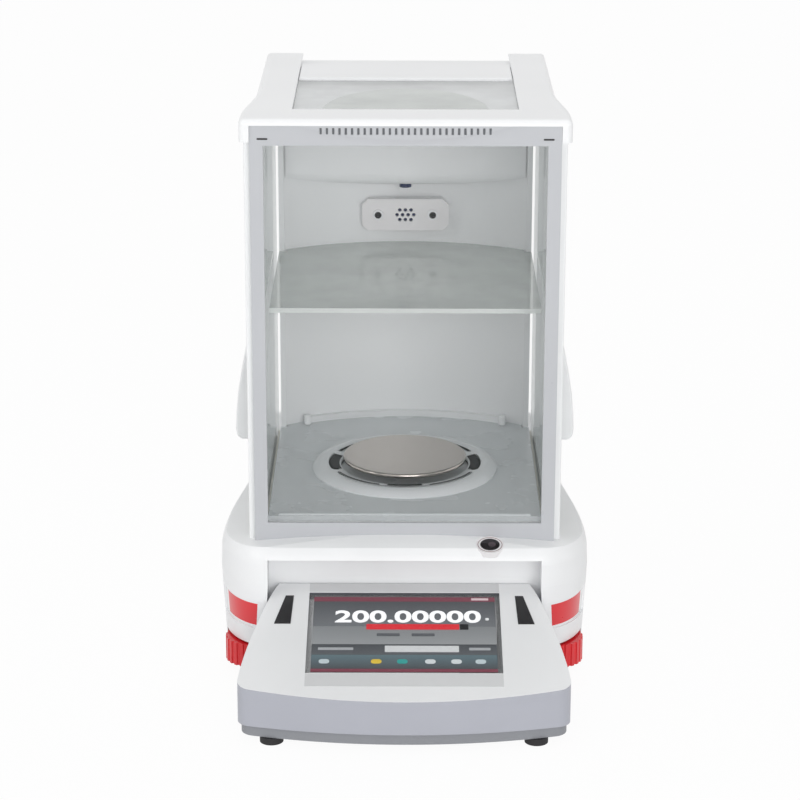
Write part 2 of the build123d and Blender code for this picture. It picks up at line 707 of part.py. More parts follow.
# Floor of the chamber with a bead along its front
with BuildPart() as floor_plate:
    extrude(chamber_plan(floor_low, FLOOR_HALF, FLOOR_FRONT_Y, 0), amount=FLOOR_T)
    with BuildSketch(Plane.XY.offset(floor_low)):
        with Locations((0, PAN_Y)):
            Circle(STEM_HOLE_R)
    extrude(amount=FLOOR_T, mode=Mode.SUBTRACT)
    with BuildSketch(Plane.YZ.offset(-BEAD_HALF)):
        with Locations((FLOOR_FRONT_Y + BEAD_Y, CHAMBER_FLOOR)):
            Ellipse(BEAD_WIDTH / 2, BEAD_H)
    extrude(amount=2 * BEAD_HALF)
finish(floor_plate, "floor_plate")

# Domed ring around the pan, cut by wide and narrow slots
wide_arcs = [CenterArc((0, PAN_Y), (SLOT_IN_R + SLOT_OUT_R) / 2, start_angle=angle - WIDE_SLOT,
                       arc_size=2 * WIDE_SLOT) for angle in (0, 90, 180, 270)]
narrow_arcs = [CenterArc((0, PAN_Y), SLOT_OUT_R - NARROW_SLOT_W, start_angle=angle - NARROW_SLOT,
                         arc_size=2 * NARROW_SLOT) for angle in (45, 135, 225, 315)]
with BuildPart() as draft_ring:
    with BuildSketch(Plane.XZ.offset(-PAN_Y)):
        with BuildLine():
            dome = ThreePointArc((RING_OUTER_R, CHAMBER_FLOOR + 1), (RING_DOME_R, RING_DOME_Z),
                                 (RING_CREST_R, RING_CREST_Z))
            Polyline(dome @ 1, (RING_INNER_R, RING_CREST_Z - RING_T), (RING_INNER_R, RING_CREST_Z - 2 * RING_T),
                     (RING_CREST_R, RING_CREST_Z - RING_T), (RING_OUTER_R - 3 * RING_T, CHAMBER_FLOOR),
                     (RING_OUTER_R, CHAMBER_FLOOR), dome @ 0)
        make_face()
    revolve(axis=Axis((0, PAN_Y, 0), (0, 0, 1)))
    with BuildSketch(Plane.XY.offset(CHAMBER_FLOOR)):
        for arc in wide_arcs:
            SlotArc(arc, SLOT_OUT_R - SLOT_IN_R)
        for arc in narrow_arcs:
            SlotArc(arc, NARROW_SLOT_W)
    extrude(amount=RING_CREST_Z - CHAMBER_FLOOR, mode=Mode.SUBTRACT)
finish(draft_ring, "draft_ring")

with BuildPart() as ring_screen:
    with BuildSketch(Plane.XY.offset(CHAMBER_FLOOR)):
        with Locations((0, PAN_Y)):
            Circle(RING_CREST_R)
            Circle(RING_INNER_R, mode=Mode.SUBTRACT)
    extrude(amount=SCREEN_MESH_T)
finish(ring_screen, "ring_screen")

# Pan with its hub, resting over the post of the weigh cell
hub_low = floor_low + 1
with BuildPart() as pan:
    with BuildSketch(Plane.XY.offset(PAN_TOP - PAN_T)):
        with Locations((0, PAN_Y)):
            Circle(PAN_R)
    extrude(amount=PAN_T)
    fillet(pan.edges().filter_by(GeomType.CIRCLE), radius=PAN_RIM_R)
    with BuildSketch(Plane.XY.offset(hub_low)):
        with Locations((0, PAN_Y)):
            Circle(HUB_R)
    extrude(amount=PAN_TOP - PAN_T - hub_low)
    with BuildSketch(Plane.XY.offset(hub_low)):
        with Locations((0, PAN_Y)):
            Circle(POST_R + POST_FIT)
    extrude(amount=PAN_TOP - PAN_T - 1 - hub_low, mode=Mode.SUBTRACT)
finish(pan, "pan")

# Weigh cell, a block cut into parallel guides by thin slits and necks
cell_top = CELL_LOW_Z + CELL_H
cell_mid_y = CELL_FRONT_Y + CELL_LENGTH / 2
cell_mid_z = CELL_LOW_Z + CELL_H / 2
neck_z = CELL_H / 2 - NECK_R - NECK_T
with BuildPart() as weigh_cell:
    with BuildSketch(Plane.YZ.offset(-CELL_HALF)):
        with Locations((cell_mid_y, cell_mid_z)):
            Rectangle(CELL_LENGTH, CELL_H)
            with GridLocations(NECK_SPAN, 2 * neck_z, 2, 2):
                Circle(NECK_R, mode=Mode.SUBTRACT)
            with GridLocations(1, 2 * neck_z, 1, 2):
                Rectangle(NECK_SPAN, CELL_SLIT, mode=Mode.SUBTRACT)
            with Locations((-NECK_SPAN / 2 + 2 * NECK_R, 0)):
                Rectangle(CELL_SLIT, 2 * neck_z, mode=Mode.SUBTRACT)
            with Locations((NECK_SPAN / 6, 0)):
                SlotOverall(NECK_SPAN / 2, 2 * NECK_R, mode=Mode.SUBTRACT)
            with Locations((NECK_SPAN / 2 - NECK_R, neck_z / 2)):
                Circle(NECK_R / 2, mode=Mode.SUBTRACT)
    extrude(amount=2 * CELL_HALF)
finish(weigh_cell, "weigh_cell")

# Force magnet behind the cell
with BuildPart() as magnet:
    with BuildSketch(Plane.XY.offset(plate_top)):
        with Locations((0, CELL_FRONT_Y + CELL_LENGTH + MAGNET_R + 1)):
            Circle(MAGNET_R)
    extrude(amount=MAGNET_H)
    chamfer(magnet.edges().group_by(Axis.Z)[-1], length=1.5)
finish(magnet, "cell_magnet")

# Bracket on the moving end of the cell with the pan post and the hook for the inner weight
hook_low = LIFTER_Z + LIFTER_T + WEIGHT_H + LIFT + LIFT_GAP
arm_top = cell_top + ARM_T
with BuildPart() as load_bracket:
    with BuildSketch(Plane.YZ.offset(-ARM_HALF)):
        with BuildLine():
            Polyline((CELL_FRONT_Y + ARM_GRIP, cell_top), (CELL_FRONT_Y + ARM_GRIP, arm_top),
                     (PAN_Y - HUB_R, arm_top), (PAN_Y - HUB_R, cell_top),
                     (CELL_FRONT_Y - ARM_T, cell_top), (CELL_FRONT_Y - ARM_T, hook_low + LIFTER_T),
                     (WEIGHT_Y - WEIGHT_R, hook_low + LIFTER_T), (WEIGHT_Y - WEIGHT_R, hook_low),
                     (CELL_FRONT_Y - 1, hook_low), (CELL_FRONT_Y - 1, cell_top), close=True)
        make_face()
    extrude(amount=2 * ARM_HALF)
    with BuildSketch(Plane.XY.offset(arm_top)):
        with Locations((0, PAN_Y)):
            Circle(HUB_R - 1)
    extrude(amount=hub_low - POST_FIT - arm_top)
    with BuildSketch(Plane.XY.offset(arm_top)):
        with Locations((0, PAN_Y)):
            Circle(POST_R)
    extrude(amount=PAN_TOP - PAN_T - 1 - POST_FIT - arm_top)
finish(load_bracket, "load_bracket")

# Inner calibration weight on its screw lifter
with BuildPart() as cal_weight:
    with BuildSketch(Plane.XY.offset(LIFTER_Z + LIFTER_T)):
        with Locations((0, WEIGHT_Y)):
            Circle(WEIGHT_R)
    extrude(amount=WEIGHT_H)
    chamfer(cal_weight.edges().filter_by(GeomType.CIRCLE), length=0.8)
finish(cal_weight, "calibration_weight")

lifter_front = CAL_Y - 3 * SCREW_R
lifter_rear = WEIGHT_Y + WEIGHT_R
with BuildPart() as cal_lifter:
    with BuildSketch(Plane.XY.offset(LIFTER_Z)):
        with Locations((0, (lifter_front + lifter_rear) / 2)):
            RectangleRounded(2 * WEIGHT_R, lifter_rear - lifter_front, 3 * SCREW_R - 1)
        with Locations((0, CAL_Y)):
            Circle(SCREW_R + SHAFT_FIT, mode=Mode.SUBTRACT)
    extrude(amount=LIFTER_T)
finish(cal_lifter, "weight_lifter")

motor_top = plate_top + CAL_MOTOR_H
with BuildPart() as cal_screw:
    with BuildSketch(Plane.XY.offset(motor_top + POST_FIT)):
        with Locations((0, CAL_Y)):
            Circle(SCREW_R)
    extrude(amount=LIFTER_Z + LIFTER_T + 2 * LIFT + WEIGHT_H / 2 - motor_top)
finish(cal_screw, "lifter_screw")

# Motors, two for the doors and one for the weight lifter
shaft_low = COVER_ROOF - SHAFT_GRIP
with BuildPart() as motors:
    with BuildSketch(Plane.XY.offset(COVER_ROOF)):
        with Locations((-drive_x, DRIVE_Y), (drive_x, DRIVE_Y)):
            Circle(MOTOR_R)
    extrude(amount=-MOTOR_H)
    with BuildSketch(Plane.XY.offset(COVER_ROOF)):
        with Locations((-drive_x, DRIVE_Y), (drive_x, DRIVE_Y)):
            Circle(SHAFT_R + SHAFT_FIT)
    extrude(amount=-SHAFT_GRIP - POST_FIT, mode=Mode.SUBTRACT)
    with BuildSketch(Plane.XY.offset(plate_top)):
        with Locations((0, CAL_Y)):
            Circle(CAL_MOTOR_R)
    extrude(amount=CAL_MOTOR_H)
finish(motors, "drive_motors")

# Pinions that drive the side doors
gear_pitch = math.pi * GEAR_MODULE
slope = math.tan(math.radians(20))
half_tooth = gear_pitch / 4 - GEAR_BACKLASH / 2
tip_half = half_tooth - GEAR_MODULE * slope
root_half = half_tooth + GEAR_ROOT * GEAR_MODULE * slope
root_r = pinion_r - GEAR_ROOT * GEAR_MODULE
tip_r = pinion_r + GEAR_MODULE
pinion_low = CARRIER_BOTTOM
for side, sign in SIDES:
    with BuildPart() as pinion:
        with BuildSketch(Plane.XY.offset(pinion_low)):
            with Locations((sign * drive_x, DRIVE_Y)):
                Circle(root_r + 0.05)
                with PolarLocations(0, PINION_TEETH):
                    Polygon((root_r - 0.2, -root_half), (tip_r, -tip_half), (tip_r, tip_half),
                            (root_r - 0.2, root_half), align=None)
        extrude(amount=RACK_TOP - pinion_low - SLOT_GAP)
        with BuildSketch(Plane.XY.offset(shaft_low)):
            with Locations((sign * drive_x, DRIVE_Y)):
                Circle(SHAFT_R)
        extrude(amount=pinion_low - shaft_low)
    finish(pinion, f"door_pinion_{side}")

# Carriers under the side glasses, with the rack cut into their inner side
first_tooth = math.ceil((SIDE_DOOR_FRONT_Y - DRIVE_Y) / gear_pitch)
last_tooth = math.floor((SIDE_DOOR_REAR_Y - DRIVE_Y) / gear_pitch)
door_length = SIDE_DOOR_REAR_Y - SIDE_DOOR_FRONT_Y
door_mid_y = SIDE_DOOR_FRONT_Y + door_length / 2
glass_mid_x = SIDE_DOOR_X + GLASS_T / 2
notches = [(0, DRIVE_Y + gear_pitch * tooth) for tooth in range(first_tooth + 1, last_tooth)]
for side, sign in SIDES:
    with BuildPart() as carrier:
        with BuildSketch(Plane.XY.offset(CARRIER_BOTTOM)):
            with Locations((sign * glass_mid_x, door_mid_y)):
                Rectangle(GLASS_T + 2 * CARRIER_SIDE, door_length)
        extrude(amount=CARRIER_TOP - CARRIER_BOTTOM)
        with BuildSketch(Plane.XY.offset(GLASS_SEAT_Z)):
            with Locations((sign * glass_mid_x, door_mid_y)):
                Rectangle(GLASS_T, door_length)
        extrude(amount=CARRIER_TOP - GLASS_SEAT_Z, mode=Mode.SUBTRACT)
        with BuildSketch(Plane.XY.offset(CARRIER_BOTTOM)):
            with Locations(*notches):
                Polygon((sign * rack_tip_x, -(gear_pitch / 2 - tip_half)),
                        (sign * (rack_pitch_x + GEAR_ROOT * GEAR_MODULE), -(gear_pitch / 2 - root_half)),
                        (sign * (rack_pitch_x + GEAR_ROOT * GEAR_MODULE), gear_pitch / 2 - root_half),
                        (sign * rack_tip_x, gear_pitch / 2 - tip_half), align=None)
        extrude(amount=RACK_TOP - CARRIER_BOTTOM, mode=Mode.SUBTRACT)
    finish(carrier, f"door_rack_{side}")

    with BuildPart() as glass:
        with BuildSketch(Plane.XY.offset(GLASS_SEAT_Z)):
            with Locations((sign * glass_mid_x, door_mid_y)):
                Rectangle(GLASS_T, door_length)
        extrude(amount=SIDE_DOOR_TOP - GLASS_SEAT_Z)
    finish(glass, f"side_glass_{side}")

    face_x = SIDE_DOOR_X + GLASS_T
    with BuildPart() as handle:
        with BuildSketch(Plane.XZ.offset(-HANDLE_Y - HANDLE_DEPTH / 2)):
            Polygon((sign * face_x, HANDLE_LOW_Z), (sign * (face_x + 0.7 * HANDLE_REACH), HANDLE_LOW_Z),
                    (sign * (face_x + HANDLE_REACH), HANDLE_LOW_Z + 6),
                    (sign * (face_x + 0.62 * HANDLE_REACH), HANDLE_TOP_Z - 9),
                    (sign * (face_x + 0.4 * HANDLE_REACH), HANDLE_TOP_Z), (sign * face_x, HANDLE_TOP_Z + 1),
                    align=None)
        extrude(amount=HANDLE_DEPTH)
        fillet(handle.edges().filter_by(lambda edge: abs(edge.center().X) > face_x + 1), radius=2)
    finish(handle, f"door_handle_{side}")

# Front glass with its grey border and the slotted strip at the top
with BuildPart() as front_glass:
    with BuildSketch(Plane.XZ.offset(-FRONT_GLASS_Y)):
        with Locations((0, (FRONT_GLASS_BOTTOM + FRONT_GLASS_TOP) / 2)):
            Rectangle(2 * FRONT_GLASS_HALF, FRONT_GLASS_TOP - FRONT_GLASS_BOTTOM)
    extrude(amount=-GLASS_T)
finish(front_glass, "front_glass")

with BuildPart() as border:
    with BuildSketch(Plane.XZ.offset(-FRONT_GLASS_Y)):
        with Locations((0, (FRONT_GLASS_BOTTOM + FRONT_GLASS_TOP) / 2)):
            Rectangle(2 * FRONT_GLASS_HALF, FRONT_GLASS_TOP - FRONT_GLASS_BOTTOM)
        window_low = FRONT_GLASS_BOTTOM + BORDER_BOTTOM
        window_top = FRONT_GLASS_TOP - BORDER_TOP
        with Locations((0, (window_low + window_top) / 2)):
            Rectangle(2 * (FRONT_GLASS_HALF - BORDER_SIDE), window_top - window_low, mode=Mode.SUBTRACT)
    extrude(amount=BORDER_T)
finish(border, "glass_border")

strip_mid_z = FRONT_GLASS_TOP - STRIP_H / 2
with BuildPart() as vent_strip:
    with BuildSketch(Plane.XZ.offset(-FRONT_GLASS_Y + BORDER_T)):
        with BuildLine():
            ThreePointArc((-STRIP_HALF, FRONT_GLASS_TOP), (0, FRONT_GLASS_TOP - STRIP_H),
                          (STRIP_HALF, FRONT_GLASS_TOP))
            Line((STRIP_HALF, FRONT_GLASS_TOP), (-STRIP_HALF, FRONT_GLASS_TOP))
        make_face()
    extrude(amount=BORDER_T)
    with BuildSketch(Plane.XZ.offset(-FRONT_GLASS_Y + BORDER_T)):
        with Locations((0, strip_mid_z + STRIP_H / 8)):
            with GridLocations(STRIP_PITCH, 1, STRIP_SLOTS, 1):
                Rectangle(STRIP_SLOT_W, STRIP_SLOT_H)
    extrude(amount=BORDER_T, mode=Mode.SUBTRACT)
finish(vent_strip, "vent_strip")

# Posts behind the edges of the front glass
with BuildPart() as posts:
    with BuildSketch(Plane.XY.offset(FRONT_GLASS_BOTTOM)):
        with Locations((-post_x, POST_REAR_Y - post_depth / 2), (post_x, POST_REAR_Y - post_depth / 2)):
            Rectangle(POST_OUT_X - FLOOR_HALF, post_depth)
    extrude(amount=FRAME_BOTTOM - FRONT_GLASS_BOTTOM)
    fillet(posts.edges().filter_by(Axis.Z).filter_by(lambda edge: abs(edge.center().X) > POST_OUT_X - 1),
           radius=1)
finish(posts, "front_posts")

# Top frame of the draft shield
frame_front = FRONT_GLASS_Y - 2 * BORDER_T
with BuildPart() as top_frame:
    with BuildSketch(Plane.XY.offset(FRAME_BOTTOM)) as frame_plan:
        with BuildLine():
            Polyline((0, frame_front), (FRAME_FRONT_HALF, frame_front), (FRAME_FRONT_HALF, SHOULDER_START_Y))
            Spline((FRAME_FRONT_HALF, SHOULDER_START_Y), (FRAME_REAR_HALF, SHOULDER_END_Y),
                   tangents=((0, 1), (0, 1)))
            Polyline((FRAME_REAR_HALF, SHOULDER_END_Y), (FRAME_REAR_HALF, FRAME_REAR_Y), (0, FRAME_REAR_Y))
            mirror(about=Plane.YZ)
        make_face()
        corners = frame_plan.vertices().filter_by(lambda spot: abs(spot.X) > TOWER_HALF)
        fillet(corners.group_by(Axis.Y)[0], radius=FRAME_EDGE_R)
    extrude(amount=SHIELD_TOP - FRAME_BOTTOM)
    fillet(top_frame.edges().group_by(Axis.Z)[-1], radius=FRAME_EDGE_R)
    opening = REAR_BAR_FRONT_Y - FRONT_BAR_REAR_Y
    with BuildSketch(Plane.XY.offset(FRAME_BOTTOM)):
        with Locations((0, FRONT_BAR_REAR_Y + opening / 2)):
            Rectangle(2 * FRAME_INNER_HALF, opening)
    extrude(amount=SHIELD_TOP - FRAME_BOTTOM, mode=Mode.SUBTRACT)
    groove = FRAME_REAR_Y - FRONT_BAR_REAR_Y
    groove_low = TOP_DOOR_Z - TOP_GROOVE_GAP
    groove_half = TOP_DOOR_HALF + TOP_GROOVE_GAP
    with BuildSketch(Plane.XY.offset(groove_low)):
        with Locations((0, FRONT_BAR_REAR_Y + groove / 2)):
            Rectangle(2 * groove_half, groove)
    extrude(amount=TOP_DOOR_T + 2 * TOP_GROOVE_GAP, mode=Mode.SUBTRACT)
    with BuildSketch(Plane.XY.offset(groove_low)):
        with Locations((0, FRONT_BAR_REAR_Y + groove / 2)):
            Rectangle(2 * FRAME_INNER_HALF, groove)
    extrude(amount=SHIELD_TOP - groove_low, mode=Mode.SUBTRACT)
    run = FRAME_REAR_Y - POST_REAR_Y
    with BuildSketch(Plane.XY.offset(FRAME_BOTTOM)):
        with Locations((-glass_mid_x, POST_REAR_Y + run / 2), (glass_mid_x, POST_REAR_Y + run / 2)):
            Rectangle(GLASS_T + 2 * CHANNEL_GAP, run)
    extrude(amount=SIDE_DOOR_TOP + CHANNEL_GAP - FRAME_BOTTOM, mode=Mode.SUBTRACT)
    lip_depth = glass_slot_rear - frame_front
    with BuildSketch(Plane.XY.offset(FRAME_BOTTOM)):
        with Locations((0, frame_front + lip_depth / 2)):
            Rectangle(2 * (FRONT_GLASS_HALF + SLOT_GAP), lip_depth)
    extrude(amount=FRONT_GLASS_TOP - FRAME_BOTTOM, mode=Mode.SUBTRACT)
finish(top_frame, "top_frame")

# Sliding top door with its grip plate and rear cover
top_door_front = FRONT_BAR_REAR_Y + TOP_GROOVE_GAP
top_door_top = TOP_DOOR_Z + TOP_DOOR_T
with BuildPart() as top_glass:
    with BuildSketch(Plane.XY.offset(TOP_DOOR_Z)):
        with Locations((0, (top_door_front + TOP_DOOR_REAR_Y) / 2)):
            Rectangle(2 * TOP_DOOR_HALF, TOP_DOOR_REAR_Y - top_door_front)
    extrude(amount=TOP_DOOR_T)
finish(top_glass, "top_glass")

with BuildPart() as top_grip:
    with BuildSketch(Plane.XY.offset(top_door_top)):
        with Locations((0, top_door_front)):
            Ellipse(GRIP_HALF, GRIP_DEPTH)
        with Locations((0, top_door_front + GRIP_DEPTH / 2)):
            Rectangle(2 * GRIP_HALF, GRIP_DEPTH, mode=Mode.INTERSECT)
    extrude(amount=GRIP_T)
    fillet(top_grip.edges().group_by(Axis.Z)[-1], radius=GRIP_T / 2)
finish(top_grip, "top_grip")

with BuildPart() as top_tail:
    with BuildSketch(Plane.XY.offset(top_door_top)):
        with Locations((0, (TOP_TAIL_START_Y + TOP_DOOR_REAR_Y) / 2)):
            Rectangle(2 * (FRAME_INNER_HALF - TOP_GROOVE_GAP), TOP_DOOR_REAR_Y - TOP_TAIL_START_Y)
    extrude(amount=GRIP_T)
    fillet(top_tail.edges().group_by(Axis.Z)[-1], radius=GRIP_T / 2)
finish(top_tail, "top_rear_bar")

# Shelf and the pins that carry it
with BuildPart() as shelf:
    extrude(chamber_plan(SHELF_Z, SHELF_HALF, SHELF_FRONT_Y, SHELF_GAP), amount=SHELF_T)
finish(shelf, "shelf")

with BuildPart() as shelf_pins:
    with BuildSketch(Plane.XZ.offset(-TOWER_FRONT_Y)):
        pin_x = TOWER_HALF - TOWER_T / 2
        with Locations((-pin_x, SHELF_Z - PIN_R), (pin_x, SHELF_Z - PIN_R)):
            Circle(PIN_R)
    extrude(amount=PIN_L)
finish(shelf_pins, "shelf_pins")

# Main board in the tower, on posts from the tower's back
board_y = TOWER_REAR_Y - TOWER_T - BOARD_STAND
with BuildPart() as main_board:
    with BuildSketch(Plane.XZ.offset(-board_y)):
        with Locations((0, BOARD_Z)):
            Rectangle(BOARD_W, BOARD_H)
    extrude(amount=BOARD_T)
    with BuildSketch(Plane.XZ.offset(-board_y)):
        with Locations((0, BOARD_Z)):
            with GridLocations(BOARD_W - 6 * PIN_R, BOARD_H - 6 * PIN_R, 2, 2):
                Circle(PIN_R)
    extrude(amount=-BOARD_STAND)
    with BuildSketch(Plane.XZ.offset(BOARD_T - board_y)):
        with Locations((0, BOARD_Z)):
            with GridLocations(BOARD_W / 3, BOARD_H / 3, 3, 3):
                Rectangle(CHIP_SIZE, CHIP_SIZE)
    extrude(amount=BOARD_T)
finish(main_board, "main_board")

# Connector plate at the back of the base
port_rear = BASE_REAR_Y - BASE_DRAFT + PORT_PLATE_Y
port_plane = Plane.XZ.offset(-port_rear)
with BuildPart() as port_plate:
    with BuildSketch(port_plane):
        with Locations((0, PORT_Z)):
            RectangleRounded(2 * PORT_HALF, PORT_H, PORT_CORNER_R)
        with Locations((-JACK_X, PORT_Z)):
            Circle(JACK_R, mode=Mode.SUBTRACT)
        with Locations((SERIAL_X, PORT_Z)):
            Rectangle(SERIAL_W, SERIAL_H, mode=Mode.SUBTRACT)
        with Locations((USB_X, PORT_Z)):
            Rectangle(USB_W, USB_H, mode=Mode.SUBTRACT)
    extrude(amount=WALL)
finish(port_plate, "port_plate")

with BuildPart() as power_jack:
    with BuildSketch(port_plane):
        with Locations((-JACK_X, PORT_Z)):
            Circle(JACK_R)
            Circle(JACK_BORE_R, mode=Mode.SUBTRACT)
    extrude(amount=PORT_DEPTH)
    with BuildSketch(port_plane.offset(PORT_DEPTH)):
        with Locations((-JACK_X, PORT_Z)):
            Circle(JACK_R)
    extrude(amount=1)
    with BuildSketch(port_plane.offset(1)):
        with Locations((-JACK_X, PORT_Z)):
            Circle(JACK_PIN_R)
    extrude(amount=PORT_DEPTH - 1)
finish(power_jack, "power_jack")

with BuildPart() as data_ports:
    with BuildSketch(port_plane):
        with Locations((SERIAL_X, PORT_Z)):
            Rectangle(SERIAL_W, SERIAL_H)
        with Locations((USB_X, PORT_Z)):
            Rectangle(USB_W, USB_H)
    extrude(amount=PORT_DEPTH)
    with BuildSketch(port_plane):
        with Locations((SERIAL_X, PORT_Z)):
            Rectangle(SERIAL_W - 2, SERIAL_H - 2)
            Rectangle(SERIAL_W - 5, SERIAL_H - 5, mode=Mode.SUBTRACT)
        with Locations((USB_X, PORT_Z)):
            Rectangle(USB_W - 2, USB_H - 2)
            Rectangle(USB_W - 6, USB_H - 6, mode=Mode.SUBTRACT)
    extrude(amount=PORT_DEPTH - 2, mode=Mode.SUBTRACT)
finish(data_ports, "data_ports")


# Plan outline of the terminal
def terminal_plan(height, inset):
    rear = TERM_REAR_Y - inset
    front = TERM_FRONT_Y + inset
    corner_x = TERM_FRONT_HALF - inset
    rise = TERM_CORNER_Y - TERM_FRONT_Y
    front_r = (corner_x ** 2 + rise ** 2) / (2 * rise)
    mid_y = front + front_r - math.sqrt(front_r ** 2 - (corner_x / 2) ** 2)
    with BuildSketch(Plane.XY.offset(height)) as plan:
        with BuildLine():
            Line((0, rear), (TERM_REAR_HALF - inset, rear))
            Spline((TERM_REAR_HALF - inset, rear), (TERM_MID_HALF - inset, TERM_MID_Y),
                   (corner_x, TERM_CORNER_Y + inset), tangents=((TERM_FLARE, -1), (0.05, -1)))
            ThreePointArc((corner_x, TERM_CORNER_Y + inset), (corner_x / 2, mid_y), (0, front))
            mirror(about=Plane.YZ)
        make_face()
        fillet(plan.vertices().filter_by(lambda spot: abs(spot.X) > TERM_MID_HALF), radius=TERM_CORNER_R)
    return plan.sketch.face()


tilt = math.radians(TERM_SLOPE)
term_face = Plane(origin=(0, TERM_REAR_Y, TERM_REAR_Z), x_dir=(1, 0, 0),
                  z_dir=(0, -math.sin(tilt), math.cos(tilt)))
screen_mid = -SCREEN_TOP - SCREEN_L / 2
sensor_points = ((SENSOR_TOP_IN, -SENSOR_TOP), (SENSOR_TOP_OUT, -SENSOR_TOP),
                 (SENSOR_LOW_OUT, -SENSOR_TOP - SENSOR_L), (SENSOR_LOW_IN, -SENSOR_TOP - SENSOR_L))


def sensor_outline(sign):
    Polygon(*[(sign * x, y) for x, y in sensor_points], align=None)


# Top cover of the terminal, a sloping slab with the screen opening
with BuildPart() as terminal_cover:
    extrude(terminal_plan(TERM_BOTTOM, 0), amount=TERM_REAR_Z)
    with BuildSketch(term_face):
        Rectangle(4 * TERM_FRONT_HALF, 4 * TERM_FRONT_HALF)
    extrude(amount=TERM_REAR_Z, mode=Mode.SUBTRACT)
    with BuildSketch(term_face.offset(-TERM_COVER_T)):
        Rectangle(4 * TERM_FRONT_HALF, 4 * TERM_FRONT_HALF)
    extrude(amount=-2 * TERM_REAR_Z, mode=Mode.SUBTRACT)
    top_face = terminal_cover.faces().sort_by(Axis.Z)[-1]
    fillet(top_face.outer_wire().edges(), radius=TERM_EDGE_R)
    with BuildSketch(term_face):
        with Locations((0, screen_mid)):
            Rectangle(SCREEN_W, SCREEN_L)
        sensor_outline(-1)
        sensor_outline(1)
    extrude(amount=-SCREEN_GLASS_T, mode=Mode.SUBTRACT)
    with BuildSketch(term_face):
        with Locations((0, screen_mid)):
            Rectangle(SCREEN_W - 2 * SCREEN_LEDGE, SCREEN_L - 2 * SCREEN_LEDGE)
    extrude(amount=-TERM_COVER_T, mode=Mode.SUBTRACT)
finish(terminal_cover, "terminal_cover")

with BuildPart() as terminal_body:
    extrude(terminal_plan(TERM_LIP_Z, 0), amount=TERM_REAR_Z - TERM_LIP_Z)
    extrude(terminal_plan(TERM_LIP_Z, TERM_WALL), amount=TERM_REAR_Z - TERM_LIP_Z, mode=Mode.SUBTRACT)
    with BuildSketch(term_face.offset(-TERM_COVER_T)):
        Rectangle(4 * TERM_FRONT_HALF, 4 * TERM_FRONT_HALF)
    extrude(amount=TERM_REAR_Z, mode=Mode.SUBTRACT)
finish(terminal_body, "terminal_body")

with BuildPart() as terminal_base:
    extrude(terminal_plan(TERM_BOTTOM, TERM_LIP_INSET), amount=TERM_LIP_Z - TERM_BOTTOM)
    extrude(terminal_plan(TERM_BOTTOM + TERM_WALL, TERM_LIP_INSET + TERM_WALL), amount=TERM_LIP_Z,
            mode=Mode.SUBTRACT)
finish(terminal_base, "terminal_base")

with BuildPart() as terminal_feet:
    with BuildSketch():
        with Locations(*[(sign * x, y) for x, y in TERM_FEET for sign in (-1, 1)]):
            Circle(TERM_FOOT_R)
    extrude(amount=TERM_BOTTOM)
finish(terminal_feet, "terminal_feet")

# Screen glass, display panel, sensor windows and board of the terminal
with BuildPart() as screen_glass:
    with BuildSketch(term_face.offset(-SCREEN_GLASS_T)):
        with Locations((0, screen_mid)):
            Rectangle(SCREEN_W, SCREEN_L)
    extrude(amount=SCREEN_GLASS_T)
finish(screen_glass, "screen_glass")

with BuildPart() as display_panel:
    with BuildSketch(term_face.offset(-SCREEN_GLASS_T)):
        with Locations((0, screen_mid)):
            Rectangle(SCREEN_W - 2 * SCREEN_LEDGE, SCREEN_L - 2 * SCREEN_LEDGE)
    extrude(amount=-(TERM_COVER_T - SCREEN_GLASS_T))
finish(display_panel, "display_panel")

with BuildPart() as sensors:
    with BuildSketch(term_face.offset(-SCREEN_GLASS_T)):
        sensor_outline(-1)
        sensor_outline(1)
    extrude(amount=SCREEN_GLASS_T + SENSOR_PROUD)
finish(sensors, "sensor_windows")

with BuildPart() as terminal_board:
    with BuildSketch(term_face.offset(-TERM_COVER_T)):
        with Locations((0, screen_mid)):
            Rectangle(SCREEN_W, SCREEN_L)
    extrude(amount=-BOARD_T)
finish(terminal_board, "terminal_board")
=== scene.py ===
import bpy
import json
import math
from mathutils import Matrix, Vector


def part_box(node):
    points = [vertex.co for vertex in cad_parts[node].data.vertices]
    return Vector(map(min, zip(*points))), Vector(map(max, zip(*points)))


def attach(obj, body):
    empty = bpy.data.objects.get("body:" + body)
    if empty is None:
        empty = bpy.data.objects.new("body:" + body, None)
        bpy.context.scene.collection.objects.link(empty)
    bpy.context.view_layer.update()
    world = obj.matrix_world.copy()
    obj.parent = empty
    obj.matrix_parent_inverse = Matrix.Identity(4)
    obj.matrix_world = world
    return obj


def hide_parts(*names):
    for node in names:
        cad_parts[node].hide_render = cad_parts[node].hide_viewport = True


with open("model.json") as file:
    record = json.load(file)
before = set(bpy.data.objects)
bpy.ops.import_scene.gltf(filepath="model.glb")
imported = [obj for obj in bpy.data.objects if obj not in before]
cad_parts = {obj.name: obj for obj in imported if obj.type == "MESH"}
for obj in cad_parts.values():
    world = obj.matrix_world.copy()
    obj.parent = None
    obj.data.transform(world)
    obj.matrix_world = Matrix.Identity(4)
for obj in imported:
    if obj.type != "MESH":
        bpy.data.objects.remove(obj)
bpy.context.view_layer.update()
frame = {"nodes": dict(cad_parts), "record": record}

# Camera of the photograph: its axis meets the 800 pixel wide picture at the centre column
IMAGE_WIDTH = 800
CENTRE_COLUMN = 404.9
FOCAL_PIXELS = 2643.0
SENSOR_MM = 36.0
PITCH = math.radians(18.012)
ROLL = 0.00263
CAMERA_PLACE = (0.0, -1.602, 0.673)

# Slope of the terminal's face, the pan's place behind the middle, and the two sides of the object
TERM_SLOPE = math.radians(12.0)
PAN_Y = 0.022
SIDES = (("left", -1), ("right", 1))

